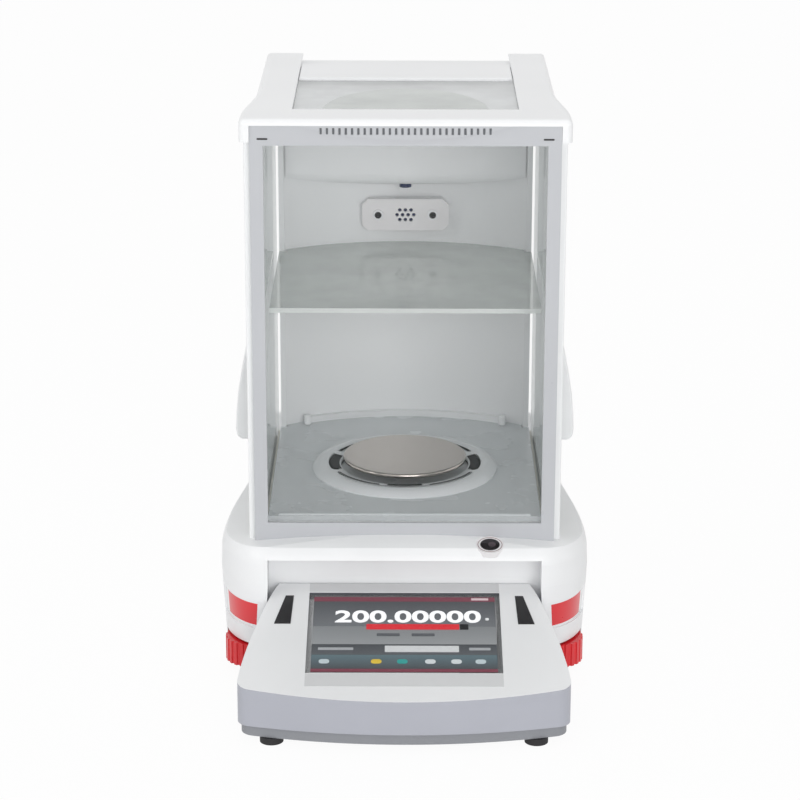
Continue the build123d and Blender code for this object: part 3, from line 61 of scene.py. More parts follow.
# Curve from a colour code to linear light
TOE_END = 0.04045
TOE_SLOPE = 12.92
CURVE_OFFSET = 0.055
CURVE_POWER = 2.4


def linear(part):
    if part <= TOE_END:
        return part / TOE_SLOPE
    return ((part + CURVE_OFFSET) / (1 + CURVE_OFFSET)) ** CURVE_POWER


def srgb(code):
    """A colour, in linear light, from its six hexadecimal digits."""
    return (*[linear(int(code[i:i + 2], 16) / 255) for i in (0, 2, 4)], 1.0)


def shade(colour, factor):
    """A colour made darker or lighter, up to full white."""
    return (*[min(1.0, channel * factor) for channel in colour[:3]], 1.0)


# Small helpers for node trees
def give(tree, socket, value):
    """A socket takes a number, a colour, or the output of another node."""
    if isinstance(value, bpy.types.NodeSocket):
        tree.links.new(value, socket)
    else:
        socket.default_value = value


def add_node(tree, kind, inputs=(), **settings):
    """A node with its settings, and with what its inputs take, by name or number."""
    node = tree.nodes.new(kind)
    for key, value in settings.items():
        setattr(node, key, value)
    for key, value in dict(inputs).items():
        give(tree, node.inputs[key], value)
    return node


def maths(tree, operation, *values, clamp=False):
    """The result of one operation on numbers and outputs."""
    node = add_node(tree, "ShaderNodeMath", enumerate(values), operation=operation, use_clamp=clamp)
    return node.outputs[0]


class Look:
    """A material in the making: its nodes, and a few ways to feed its shader."""

    def __init__(self, name, roughness, metallic=0.0):
        self.material = bpy.data.materials.new(name)
        self.material.use_nodes = True
        self.tree = self.material.node_tree
        self.shader = self.tree.nodes["Principled BSDF"]
        self.roughness = roughness
        self.feed("Roughness", roughness)
        self.feed("Metallic", metallic)
        self.coordinates = self.node("ShaderNodeTexCoord")

    def feed(self, socket, value):
        give(self.tree, self.shader.inputs[socket], value)

    def node(self, kind, inputs=(), **settings):
        return add_node(self.tree, kind, inputs, **settings)

    def maths(self, operation, *values, clamp=False):
        return maths(self.tree, operation, *values, clamp=clamp)

    def vector(self, operation, *values):
        return self.node("ShaderNodeVectorMath", enumerate(values), operation=operation)

    def separate(self, source="Object"):
        """X, Y and Z of the place on the object, or of the normal."""
        return self.node("ShaderNodeSeparateXYZ", {0: self.coordinates.outputs[source]}).outputs

    def noise(self, scale, detail, stretch=(1, 1, 1)):
        inputs = {"Vector": self.coordinates.outputs["Object"], "Scale": stretch}
        mapping = self.node("ShaderNodeMapping", inputs)
        inputs = {"Vector": mapping.outputs["Vector"], "Scale": scale, "Detail": detail}
        return self.node("ShaderNodeTexNoise", inputs).outputs["Fac"]

    def fit(self, value, low=0.0, high=1.0, from_low=0.0, from_high=1.0):
        """A value fitted from one range into another."""
        inputs = {"Value": value, "From Min": from_low, "From Max": from_high, "To Min": low, "To Max": high}
        return self.node("ShaderNodeMapRange", inputs).outputs["Result"]

    def ramp(self, factor, *stops):
        """A colour that goes from the first stop to the second along a factor."""
        ramp = self.node("ShaderNodeValToRGB", {"Fac": factor})
        for element, (position, colour) in zip(ramp.color_ramp.elements, stops):
            element.position = position
            element.color = colour
        return ramp.outputs["Color"]

    def mottle(self, factor, colour, darker, lighter, low=0.3, high=0.7):
        """A colour that varies along a factor, from a little darker to a little lighter."""
        return self.ramp(factor, (low, shade(colour, 1 - darker)), (high, shade(colour, 1 + lighter)))

    def mix(self, factor, first, second):
        mix = self.node("ShaderNodeMix", {"Factor": factor, "A": first, "B": second}, data_type="RGBA")
        return mix.outputs["Result"]

    def rough(self, factor, below, above):
        """Gloss that varies along a factor, from a little smoother to a little rougher."""
        self.feed("Roughness", self.fit(factor, self.roughness - below, self.roughness + above))

    def relief(self, height, strength, depth):
        inputs = {"Height": height, "Strength": strength, "Distance": depth}
        self.feed("Normal", self.node("ShaderNodeBump", inputs).outputs["Normal"])


# Scales of the noise in the finishes, in features per metre, and the pitch of turned rings
TONE_SCALE = 14.0
GLOSS_SCALE = 60.0
GRAIN_SCALE = 1400.0
PAINT_TONE_SCALE = 9.0
PAINT_GLOSS_SCALE = 35.0
PEEL_SCALE = 260.0
LINE_SCALE = 900.0
POLISH_SCALE = 90.0
DUST_SCALE = 30.0
GLOW_SCALE = 400.0
TURNED_PITCH = 0.0006

# Refraction of glass, and the share of a normal along a plate's thin axis on a cut edge and on a face
GLASS_IOR = 1.5
EDGE_NORMAL = 0.45
FACE_NORMAL = 0.55

# Upward share of a normal on the terminal's rim and on its top
RIM_NORMAL = 0.45
TOP_NORMAL = 0.62

# Where the nozzle's bore ends and its ring starts, as shares of twice the bore's radius
BORE_END = 0.49
RING_START = 0.52

BLACK = (0, 0, 0, 1)
PURE_WHITE = (1, 1, 1, 1)


def moulded(name, colour, roughness, grain=GRAIN_SCALE, depth=0.00006, coat=0.0):
    """Moulded plastic: faint mottling, a fine spark-eroded grain and uneven gloss."""
    look = Look(name, roughness)
    tone = look.noise(TONE_SCALE, detail=4.0)
    look.feed("Base Color", look.mottle(tone, colour, darker=0.03, lighter=0.03))
    look.rough(look.noise(GLOSS_SCALE, detail=3.0), below=0.05, above=0.06)
    look.relief(look.noise(grain, detail=2.0), strength=0.35, depth=depth)
    look.feed("Coat Weight", coat)
    return look.material


def painted(name, colour, roughness):
    """Painted sheet metal: smooth, with a slow orange-peel and a little wear in the gloss."""
    look = Look(name, roughness)
    tone = look.noise(PAINT_TONE_SCALE, detail=3.0)
    look.feed("Base Color", look.mottle(tone, colour, darker=0.02, lighter=0.02))
    look.rough(look.noise(PAINT_GLOSS_SCALE, detail=4.0), below=0.06, above=0.07)
    look.relief(look.noise(PEEL_SCALE, detail=2.0), strength=0.18, depth=0.00012)
    return look.material


def brushed(name, colour, roughness, stretch):
    """Metal with fine lines along the direction in which the noise is stretched."""
    look = Look(name, roughness, metallic=1.0)
    lines = look.noise(LINE_SCALE, detail=3.0, stretch=stretch)
    look.feed("Base Color", look.mottle(lines, colour, darker=0.05, lighter=0.05, low=0.25, high=0.75))
    look.rough(lines, below=0.05, above=0.08)
    look.relief(lines, strength=0.3, depth=0.00003)
    return look.material


def turned(name, colour, roughness, centre):
    """Metal turned on a lathe: fine rings about an upright axis at a place in the plan."""
    look = Look(name, roughness, metallic=1.0)
    offset = look.vector("SUBTRACT", look.coordinates.outputs["Object"], centre).outputs["Vector"]
    flat = look.vector("MULTIPLY", offset, (1, 1, 0)).outputs["Vector"]
    radius = look.vector("LENGTH", flat).outputs["Value"]
    inputs = {"Scale": 1 / TURNED_PITCH, "W": radius}
    rings = look.node("ShaderNodeTexNoise", inputs, noise_dimensions="1D").outputs["Fac"]
    look.feed("Base Color", look.mottle(rings, colour, darker=0.06, lighter=0.05))
    look.rough(look.noise(POLISH_SCALE, detail=4.0), below=0.03, above=0.05)
    look.relief(rings, strength=0.25, depth=0.00002)
    return look.material


def plate(name, colour, edge, face_alpha, edge_alpha, thin_axis, mirror):
    """Clear plate: faces barely seen straight on and mirror-like at a grazing angle, denser cut edges."""
    look = Look(name, 0.03)
    size = look.maths("ABSOLUTE", look.separate("Normal")[thin_axis])
    face = look.ramp(size, (EDGE_NORMAL, BLACK), (FACE_NORMAL, PURE_WHITE))
    look.feed("Base Color", look.ramp(size, (EDGE_NORMAL, edge), (FACE_NORMAL, colour)))
    dust = look.noise(DUST_SCALE, detail=5.0)
    film = look.fit(dust, low=0.7 * face_alpha, high=1.3 * face_alpha)
    fresnel = look.node("ShaderNodeFresnel", {"IOR": GLASS_IOR}).outputs[0]
    shine = look.maths("MULTIPLY_ADD", fresnel, mirror, film, clamp=True)
    look.feed("Alpha", look.fit(face, low=edge_alpha, high=shine))
    look.rough(dust, below=0.015, above=0.02)
    look.feed("IOR", GLASS_IOR)
    return look.material


def grey_where_upright(name, top, rim):
    """White top of the terminal, whose faces that stand upright, picked by how far the normal points up, take
    the grey of the body below it.
    """
    look = Look(name, 0.33)
    upward = look.ramp(look.separate("Normal")["Z"], (RIM_NORMAL, BLACK), (TOP_NORMAL, PURE_WHITE))
    tone = look.noise(TONE_SCALE, detail=4.0)
    grey = look.mottle(tone, rim, darker=0.02, lighter=0.02)
    white = look.mottle(tone, top, darker=0.02, lighter=0.02)
    look.feed("Base Color", look.mix(upward, grey, white))
    look.rough(look.noise(GLOSS_SCALE, detail=3.0), below=0.05, above=0.07)
    look.relief(look.noise(GRAIN_SCALE, detail=2.0), strength=0.3, depth=0.00005)
    return look.material


def bored(name, ring, bore, centre, radius):
    """Nozzles: a white ring round a black bore, painted as the shade in each hole, on both sides of the
    middle.
    """
    look = Look(name, 0.35)
    place = look.separate()
    side = look.maths("ABSOLUTE", place["X"])
    flat = look.node("ShaderNodeCombineXYZ", {"X": side, "Z": place["Z"]}).outputs[0]
    away = look.vector("DISTANCE", flat, centre).outputs["Value"]
    share = look.fit(away, from_high=2 * radius)
    # the black inside each ring is painted shade for the depth of the hole
    look.feed("Base Color", look.ramp(share, (BORE_END, bore), (RING_START, ring)))
    look.relief(look.noise(GRAIN_SCALE, detail=2.0), strength=0.3, depth=0.00004)
    return look.material


def insert(name, red, white, low, high, inner_x, lean, rear_y):
    """Red insert with white shoulders: red between two heights, outside a leaning edge, ahead of rear_y."""
    look = Look(name, 0.3)
    place = look.separate()
    slant = look.maths("MULTIPLY_ADD", place["Z"], lean, look.maths("ABSOLUTE", place["X"]))
    mask = look.maths("GREATER_THAN", place["Z"], low)
    for output, operation, limit in ((place["Z"], "LESS_THAN", high), (slant, "GREATER_THAN", inner_x),
                                     (place["Y"], "LESS_THAN", rear_y)):
        mask = look.maths("MULTIPLY", mask, look.maths(operation, output, limit))
    look.feed("Base Color", look.mix(mask, white, red))
    look.rough(look.noise(GLOSS_SCALE, detail=3.0), below=0.06, above=0.04)
    look.feed("Coat Weight", 0.3)
    return look.material


def glowing(look, tint, glow):
    """The look's material, with a tint that also glows a little."""
    look.feed("Base Color", tint)
    look.feed("Emission Color", tint)
    look.feed("Emission Strength", glow)
    return look.material


def lit(name, code, glow):
    """Luminous part of the display in one colour, faintly mottled."""
    look = Look(name, 0.35)
    tint = look.mottle(look.noise(GLOW_SCALE, detail=2.0), srgb(code), darker=0.03, lighter=0.03)
    return glowing(look, tint, glow)


def faded(name, rear_y, rear_code, front_y, front_code, glow):
    """Luminous band that fades from one colour at its rear edge to another at its front edge."""
    look = Look(name, 0.35)
    share = look.fit(look.separate()["Y"], from_low=rear_y, from_high=front_y)
    return glowing(look, look.ramp(share, (0.0, srgb(rear_code)), (1.0, srgb(front_code))), glow)


# One look for each material slot
WHITE = srgb("F1F2F3")
BODY_GREY = srgb("AFB1BA")
CUT_GREEN = srgb("D6E2DF")
materials = {
    "white_shell": moulded("white_shell", WHITE, 0.36),
    "white_frame": painted("white_frame", srgb("F2F3F4"), 0.3),
    "grey_floor": painted("grey_floor", srgb("D8DCDE"), 0.26),
    "border_grey": painted("border_grey", srgb("BFC1C5"), 0.3),
    "terminal_white": grey_where_upright("terminal_white", srgb("EEEFF0"), BODY_GREY),
    "terminal_grey": moulded("terminal_grey", BODY_GREY, 0.42),
    "terminal_dark": moulded("terminal_dark", srgb("8E9095"), 0.5),
    "red_trim": moulded("red_trim", srgb("DE1C26"), 0.3, coat=0.3),
    "black_plastic": moulded("black_plastic", srgb("151316"), 0.4),
    "clear_glass": plate("side_glass", srgb("E4EAEA"), CUT_GREEN, face_alpha=0.05, edge_alpha=0.5,
                         thin_axis="X", mirror=0.9),
    "shelf_glass": plate("shelf_glass", srgb("F2F6F3"), srgb("F0F4F2"), face_alpha=0.46, edge_alpha=0.8,
                         thin_axis="Z", mirror=0.25),
    "screen_glass": plate("screen_glass", srgb("50565B"), srgb("30343A"), face_alpha=0.05, edge_alpha=0.5,
                          thin_axis="Z", mirror=0.6),
    "sensor_glass": moulded("sensor_glass", srgb("0A070B"), 0.3, grain=300.0, depth=0.00001),
    "display": moulded("display", srgb("5E6166"), 0.3),
    "pan_steel": turned("pan_steel", srgb("BDB6B0"), 0.14, centre=(0.0, PAN_Y, 0.0)),
    "ring_metal": painted("ring_metal", srgb("ECEEF0"), 0.2),
    "cell_alloy": brushed("cell_alloy", srgb("C9CBCD"), 0.3, stretch=(1, 0.02, 1)),
    "weight_steel": turned("weight_steel", srgb("CFCBC6"), 0.1, centre=(0.0, 0.0, 0.0)),
    "motor_metal": brushed("motor_metal", srgb("9A9B9E"), 0.35, stretch=(1, 1, 0.03)),
    "gear_plastic": moulded("gear_plastic", srgb("E9E6DC"), 0.4),
    "mesh_black": moulded("mesh_black", srgb("0E0D0F"), 0.6, grain=700.0, depth=0.0003),
    "lamp_blue": moulded("lamp_blue", srgb("1D2850"), 0.3),
    "board_green": moulded("board_green", srgb("1E6B3C"), 0.4),
    "port_metal": brushed("port_metal", srgb("A8AAAD"), 0.3, stretch=(0.03, 1, 1)),
    "rubber_black": moulded("rubber_black", srgb("201F21"), 0.7, grain=900.0, depth=0.0002),
    "screw_steel": brushed("screw_steel", srgb("A5A6A9"), 0.3, stretch=(1, 1, 1)),
    "vial_glass": moulded("vial_glass", srgb("1A1216"), 0.08, grain=300.0, depth=0.00001),
    "ring_white": moulded("ring_white", srgb("EFEDEE"), 0.3),
}

# Looks of the nodes that need more than their slot's common one
NOZZLE_X = 0.0183
NOZZLE_R = 0.00228
nozzle_low, nozzle_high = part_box("ioniser_nozzles")
nozzle_z = (nozzle_low.z + nozzle_high.z) / 2
own_looks = {
    "front_glass": plate("front_glass", srgb("9AA3A3"), CUT_GREEN, face_alpha=0.012, edge_alpha=0.5,
                         thin_axis="Y", mirror=0.45),
    "top_glass": plate("top_glass", srgb("F2F4F5"), CUT_GREEN, face_alpha=0.5, edge_alpha=0.6,
                       thin_axis="Z", mirror=0.3),
    # the nozzles' black bores are painted shade
    "ioniser_nozzles": bored("nozzle", srgb("F0F0F2"), srgb("0B0A0C"), centre=(NOZZLE_X, 0, nozzle_z),
                             radius=NOZZLE_R),
    "corner_accents": insert("accent", srgb("E01F2A"), WHITE, low=0.0345, high=0.0490, inner_x=0.0935,
                             lean=0.06, rear_y=-0.0665),
}


def dress_nodes():
    """Each node of the frame gets its own look, or that of its material slot."""
    slot_of = {row["node"]: row["material_slot"] for row in frame["record"]["subparts"]}
    for name, node in frame["nodes"].items():
        node.data.materials.clear()
        node.data.materials.append(own_looks.get(name, materials[slot_of[name]]))


dress_nodes()

# Pieces that the scene adds
BEVEL_SEGMENTS = 3


def prism_faces(count, start):
    """Faces between a lower outline of count points, which begins at start, and the upper one after it."""
    lower = tuple(start + i for i in reversed(range(count)))
    upper = tuple(start + count + i for i in range(count))
    sides = []
    for k in range(count):
        after = (k + 1) % count
        sides.append((start + k, start + after, start + count + after, start + count + k))
    return [lower, upper] + sides


def flat_piece(name, outlines, thickness, place, slot, body, material=None, bevel=0.0):
    """A plate from one or more outlines in its own plane, set into the scene by place(x, y, lift)."""
    points = []
    faces = []
    for outline in outlines:
        faces += prism_faces(len(outline), len(points))
        points += [place(x, y, 0.0) for x, y in outline]
        points += [place(x, y, thickness) for x, y in outline]
    mesh = bpy.data.meshes.new(name)
    mesh.from_pydata(points, [], faces)
    mesh.materials.append(material or materials[slot])
    piece = bpy.data.objects.new(name, mesh)
    bpy.context.scene.collection.objects.link(piece)
    if bevel:
        rounding = piece.modifiers.new("bevel", "BEVEL")
        rounding.width = bevel
        rounding.segments = BEVEL_SEGMENTS
    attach(piece, body)
    return piece


def circle(radius, steps):
    angles = [2 * math.pi * i / steps for i in range(steps)]
    return [(radius * math.cos(angle), radius * math.sin(angle)) for angle in angles]


def rounded_box(x0, x1, y0, y1, radius, steps=4):
    corners = ((x1 - radius, y1 - radius, 0), (x0 + radius, y1 - radius, 90),
               (x0 + radius, y0 + radius, 180), (x1 - radius, y0 + radius, 270))
    outline = []
    for x, y, start in corners:
        for step in range(steps + 1):
            angle = math.radians(start + 90 * step / steps)
            outline.append((x + radius * math.cos(angle), y + radius * math.sin(angle)))
    return outline


def sector(inner, outer, middle, half_angle, steps):
    """Quads side by side that fill a sector between two radii; the angles are in degrees."""
    angles = [math.radians(middle - half_angle + 2 * half_angle * i / steps) for i in range(steps + 1)]
    return [[(outer * math.cos(a), outer * math.sin(a)), (outer * math.cos(b), outer * math.sin(b)),
             (inner * math.cos(b), inner * math.sin(b)), (inner * math.cos(a), inner * math.sin(a))]
            for a, b in zip(angles, angles[1:])]


def upright(y, direction):
    """Sets an outline of x and z upright at y, and thickens it backward (1) or forward (-1)."""
    return lambda x, z, lift: (x, y + direction * lift, z)


# The screen's own plane: x across, down from its rear edge, lift over its top face
SCREEN_GLASS_T = 0.0016
glass_low, glass_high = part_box("screen_glass")
screen_size = glass_high - glass_low
screen_mid = (glass_low + glass_high) / 2
screen_half = screen_size.x / 2
screen_length = (screen_size.y - SCREEN_GLASS_T * math.sin(TERM_SLOPE)) / math.cos(TERM_SLOPE)
down_slope = Vector((0, -math.cos(TERM_SLOPE), -math.sin(TERM_SLOPE)))
face_normal = Vector((0, -math.sin(TERM_SLOPE), math.cos(TERM_SLOPE)))
screen_top = screen_mid + face_normal * SCREEN_GLASS_T / 2 - down_slope * screen_length / 2

# The picture inside the glass: depth of its lowest layer, thickness of each layer, rim left free round it
BACK_DEPTH = 0.0014
LAYER = 0.00025
LEDGE = 0.0030
BUTTON_CORNER_R = 0.0004

# Bands: ends as shares of the picture's length from the rear, colour, and colour at the front edge
ROWS = (
    ("display_header", 0.000, 0.060, "8A4A58", None),
    ("display_upper", 0.062, 0.400, "5A5D61", "7C7F83"),
    ("display_panel_light", 0.402, 0.640, "8F9295", "A3A6A8"),
    ("display_band", 0.642, 0.780, "54575B", "66696D"),
    ("display_toolbar", 0.782, 0.962, "6B8087", "55585C"),
    ("display_foot", 0.964, 1.000, "8A4A58", None),
)

# Bars and buttons: left and right as shares of the half width, ends as shares of the length, colour
BUTTONS = (
    ("display_bar_red", -0.415, 0.600, 0.375, 0.445, "E0303A"),
    ("display_bar_rest", 0.605, 0.700, 0.375, 0.445, "1A1A1C"),
    ("display_button", -0.21, 0.590, 0.665, 0.745, "D2D4D5"),
    ("display_unit", 0.890, 0.925, 0.290, 0.318, "F4F5F6"),
    ("display_note_left", -0.300, -0.050, 0.500, 0.535, "5C5F63"),
    ("display_note_right", 0.080, 0.330, 0.500, 0.535, "5C5F63"),
    ("display_tag_left", -0.93, -0.55, 0.690, 0.720, "A9ACAF"),
    ("display_tag_right", 0.70, 0.93, 0.690, 0.720, "A9ACAF"),
    ("display_status", 0.74, 0.93, 0.018, 0.044, "D9C4C9"),
)

# Icons: place as a share of the half width, and colour
ICONS = (
    (-0.86, "C9D6DA"),
    (-0.30, "E8C84A"),
    (-0.02, "3FA6A0"),
    (0.28, "DDE3E5"),
    (0.56, "DDE3E5"),
    (0.82, "C9D6DA"),
)
ICON_DOWN = 0.870
ICON_SHARE = 0.036
ICON_STRETCH = 1.5
ICON_ROUNDING = 0.9

# Weight reading: span, base and height as shares, size of the type before it is stretched, extra weight
DIGITS = "200.00000"
DIGIT_LEFT = -0.765
DIGIT_RIGHT = 0.835
DIGIT_DOWN = 0.345
DIGIT_TALL = 0.150
DIGIT_TYPE = 0.02
DIGIT_WEIGHT = 0.00045


def on_screen(x, down, lift):
    return screen_top + Vector((x, 0, 0)) + down_slope * down + face_normal * lift


def in_screen(depth):
    """Places things inside the glass, a depth below its top face."""
    return lambda x, down, lift: on_screen(x, down, lift - depth)


def across(share):
    return share * (screen_half - LEDGE)


def along(share):
    return LEDGE + share * (screen_length - 2 * LEDGE)


def screen_patch(name, left, right, rear, front, radius, thickness, place, slot, material):
    """A patch with round corners in the plane of the screen."""
    outline = list(reversed(rounded_box(left, right, rear, front, radius)))
    flat_piece(name, [outline], thickness, place, slot, "terminal", material)


def display_row(name, rear, front, code, front_code):
    outline = [(across(-1.0), along(front)), (across(1.0), along(front)),
               (across(1.0), along(rear)), (across(-1.0), along(rear))]
    if front_code:
        rear_y = on_screen(0, along(rear), 0).y
        front_y = on_screen(0, along(front), 0).y
        material = faded(name, rear_y, code, front_y, front_code, glow=0.35)
    else:
        material = lit(name, code, glow=0.35)
    flat_piece(name, [outline], LAYER, in_screen(BACK_DEPTH), "display", "terminal", material)


def display_button(name, left, right, rear, front, code):
    screen_patch(name, across(left), across(right), along(rear), along(front), BUTTON_CORNER_R, LAYER,
                 in_screen(BACK_DEPTH - LAYER), "display", lit(name, code, glow=0.5))


def display_icon(number, share, code):
    half = ICON_SHARE * screen_half
    centre = across(share)
    middle = along(ICON_DOWN)
    screen_patch(f"display_icon_{number}", centre - ICON_STRETCH * half, centre + ICON_STRETCH * half,
                 middle - half, middle + half, ICON_ROUNDING * half, LAYER, in_screen(BACK_DEPTH - LAYER),
                 "display", lit(f"icon_{number}", code, glow=0.4))


def display_reading():
    """Plain numbers, stretched to their span and laid on the lowest layer of the picture."""
    curve = bpy.data.curves.new("display_reading", "FONT")
    curve.body = DIGITS
    curve.size = DIGIT_TYPE
    curve.offset = DIGIT_WEIGHT
    curve.extrude = LAYER / 2
    curve.materials.append(lit("reading", "F6F7F8", glow=0.75))
    reading = bpy.data.objects.new("display_reading", curve)
    bpy.context.scene.collection.objects.link(reading)
    bpy.context.view_layer.update()
    stretch_x = (across(DIGIT_RIGHT) - across(DIGIT_LEFT)) / reading.dimensions.x
    stretch_y = DIGIT_TALL * screen_length / reading.dimensions.y
    start = on_screen(across(DIGIT_LEFT), along(DIGIT_DOWN), LAYER * 1.5 - BACK_DEPTH)
    columns = (Vector((1, 0, 0)) * stretch_x, -down_slope * stretch_y, face_normal, start)
    reading.matrix_world = Matrix((*zip(*columns), (0, 0, 0, 1)))
    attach(reading, "terminal")


for row in ROWS:
    display_row(*row)
for row in BUTTONS:
    display_button(*row)
for number, (share, code) in enumerate(ICONS):
    display_icon(number, share, code)
display_reading()

# Printed strips on the cover, behind the screen and in front of it
OVERLAY_T = 0.00015
OVERLAY_ROOM = 0.0008
OVERLAY_REAR = 0.0100
OVERLAY_FRONT = 0.0135
OVERLAY_CORNER_R = 0.0006
overlay_grey = moulded("overlay_grey", srgb("D6D7D8"), 0.4)


def overlay_strip(name, rear, front):
    screen_patch(name, -screen_half, screen_half, rear, front, OVERLAY_CORNER_R, OVERLAY_T, on_screen,
                 "terminal_white", overlay_grey)


overlay_strip("overlay_rear", -OVERLAY_REAR, -OVERLAY_ROOM)
overlay_strip("overlay_front", screen_length + OVERLAY_ROOM, screen_length + OVERLAY_FRONT)

# Door handles: curved wings fixed to the side glasses, from an outline of x and z
HANDLE_WING = ((0.0890, 0.1360), (0.1025, 0.1360), (0.1052, 0.1382), (0.1060, 0.1430), (0.1055, 0.1530),
               (0.1044, 0.1660), (0.1023, 0.1790), (0.1000, 0.1910), (0.0975, 0.1975), (0.0940, 0.2005),
               (0.0890, 0.2015))
HANDLE_FRONT = -0.031
HANDLE_DEPTH = 0.026
HANDLE_BEVEL = 0.0012


def handle_wing(side, sign):
    outline = [(sign * x, z) for x, z in HANDLE_WING]
    if sign > 0:
        outline.reverse()
    wing = flat_piece(f"handle_wing_{side}", [outline], HANDLE_DEPTH, upright(HANDLE_FRONT, 1), "white_shell",
                      f"{side}_door", bevel=HANDLE_BEVEL)
    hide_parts(f"door_handle_{side}")


for side, sign in SIDES:
    handle_wing(side, sign)

# Knobs at the ends of the rear lip
KNOB_R = 0.0024
KNOB_STEPS = 16
KNOB_X = 0.0662
KNOB_Y = 0.1085
KNOB_LOW = 0.0992
KNOB_TALL = 0.0068
KNOB_BEVEL = 0.0008

# Small dark clips at the top corners of the front border
CLIP_X = 0.0845
CLIP_HALF = 0.0032
CLIP_LOW = 0.3375
CLIP_HIGH = 0.3385
CLIP_CORNER_R = 0.0004
CLIP_T = 0.0003
CLIP_BACK_Y = -0.0758


def lip_knob(side, sign):
    flat_piece(f"lip_knob_{side}", [circle(KNOB_R, KNOB_STEPS)], KNOB_TALL,
               lambda x, y, lift: (sign * KNOB_X + x, KNOB_Y + y, KNOB_LOW + lift), "white_frame", "housing",
               bevel=KNOB_BEVEL)


def border_clip(side, sign):
    middle = sign * CLIP_X
    outline = rounded_box(middle - CLIP_HALF, middle + CLIP_HALF, CLIP_LOW, CLIP_HIGH, CLIP_CORNER_R)
    flat_piece(f"border_clip_{side}", [outline], CLIP_T, upright(CLIP_BACK_Y, -1), "black_plastic",
               "housing")


for side, sign in SIDES:
    lip_knob(side, sign)
    border_clip(side, sign)

# Painted shade in the slots of the strip over the front glass: grey patches that stand for the dark inside
# the slots
SLOT_COUNT = 28
SLOT_PITCH = 0.0037
SLOT_HALF = 0.0006
SLOT_TALL_HALF = 0.0019
SLOT_DROP = 0.0032
SLOT_CORNER_R = 0.0003
SLOT_T = 0.0002
SLOT_INSET = 0.0001


def strip_slot_shade():
    strip_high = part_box("vent_strip")[1]
    low = strip_high.z - SLOT_DROP - SLOT_TALL_HALF
    high = strip_high.z - SLOT_DROP + SLOT_TALL_HALF
    slots = []
    for number in range(SLOT_COUNT):
        x = (number - (SLOT_COUNT - 1) / 2) * SLOT_PITCH
        slots.append(rounded_box(x - SLOT_HALF, x + SLOT_HALF, low, high, SLOT_CORNER_R))
    # grey that paints the shade inside the slots
    slot_shade_grey = moulded("slot_shade_grey", srgb("63666A"), 0.5)
    flat_piece("strip_slot_shade", slots, SLOT_T, upright(strip_high.y - SLOT_INSET, -1), "black_plastic",
               "housing", slot_shade_grey)


strip_slot_shade()

# Dark arcs on the sloping ring round the pan, both the ring's slots and painted shadow in the gap under the
# pan's rim: inner radius, outer radius, middles and half angle
RING_SPANS = (
    # the ring's dark slots, on the diagonals
    (0.0462, 0.0480, (48, 132, 228, 312), 22),
    # painted shadow in the gap under the pan's rim: front and back, then the sides
    (0.0425, 0.0482, (0, 180), 17),
    (0.0428, 0.0472, (90, 270), 14),
)
RING_CREST_R = 0.052
RING_CREST_Z = 0.1035
RING_INNER_R = 0.0415
RING_FALL = 0.0016
RING_LIFT = 0.0003
RING_SLOT_T = 0.0001
RING_STEPS = 10


def on_ring(x, y, lift):
    radius = math.hypot(x, y)
    fall = RING_FALL * (RING_CREST_R - radius) / (RING_CREST_R - RING_INNER_R)
    return (x, PAN_Y + y, RING_CREST_Z - fall + RING_LIFT + lift)


# One dark piece that holds the ring's slots and the painted shadow in the gap under the pan
def ring_slots_and_gap_shadow():
    quads = []
    for inner, outer, middles, half_angle in RING_SPANS:
        for middle in middles:
            quads += sector(inner, outer, middle, half_angle, RING_STEPS)
    flat_piece("ring_slots_and_gap_shadow", quads, RING_SLOT_T, on_ring, "mesh_black", "housing")


ring_slots_and_gap_shadow()

# Level indicator in the sloping apron: bezel, dark window, thin mark and bubble
LEVEL_TILT = math.radians(14.5)
LEVEL_PLACE = Vector((0.0525, -0.0852, 0.0860))
LEVEL_STEPS = 48
BEZEL_R = 0.0092
BEZEL_SUNK = 0.0030
BEZEL_RISE = 0.0006
BEZEL_BEVEL = 0.0003
WINDOW_R = 0.0060
WINDOW_T = 0.0002
MARK_IN_R = 0.0073
MARK_OUT_R = 0.0076
MARK_STEPS = 32
MARK_T = 0.0001
BUBBLE_R = 0.0024
BUBBLE_ASIDE = 0.0012
BUBBLE_STEPS = 24
BUBBLE_T = 0.0001


def on_apron(x, y, lift):
    up = Vector((0, -math.sin(LEVEL_TILT), math.cos(LEVEL_TILT)))
    back = Vector((0, math.cos(LEVEL_TILT), math.sin(LEVEL_TILT)))
    return LEVEL_PLACE + Vector((x, 0, 0)) + back * y + up * lift


def level_piece(name, outlines, thickness, base, slot, material=None, bevel=0.0, aside=0.0):
    """A piece of the level indicator, whose lower face lies at base above the apron."""
    return flat_piece(name, outlines, thickness, lambda x, y, lift: on_apron(x + aside, y, lift + base), slot,
                      "housing", material, bevel)


def level_indicator():
    bezel = level_piece("level_bezel", [circle(BEZEL_R, LEVEL_STEPS)], BEZEL_SUNK + BEZEL_RISE, -BEZEL_SUNK,
                        "ring_white", bevel=BEZEL_BEVEL)
    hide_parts("level_ring")
    window = level_piece("level_window", [circle(WINDOW_R, LEVEL_STEPS)], WINDOW_T, BEZEL_RISE, "vial_glass")
    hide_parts("level_vial")
    level_piece("level_mark", sector(MARK_IN_R, MARK_OUT_R, 180, 180, MARK_STEPS), MARK_T, BEZEL_RISE,
                "ring_white", moulded("level_mark", srgb("7A4A50"), 0.3))
    level_piece("level_bubble", [circle(BUBBLE_R, BUBBLE_STEPS)], BUBBLE_T, BEZEL_RISE + WINDOW_T,
                "vial_glass", moulded("bubble", srgb("4A3E44"), 0.1), aside=BUBBLE_ASIDE)


level_indicator()

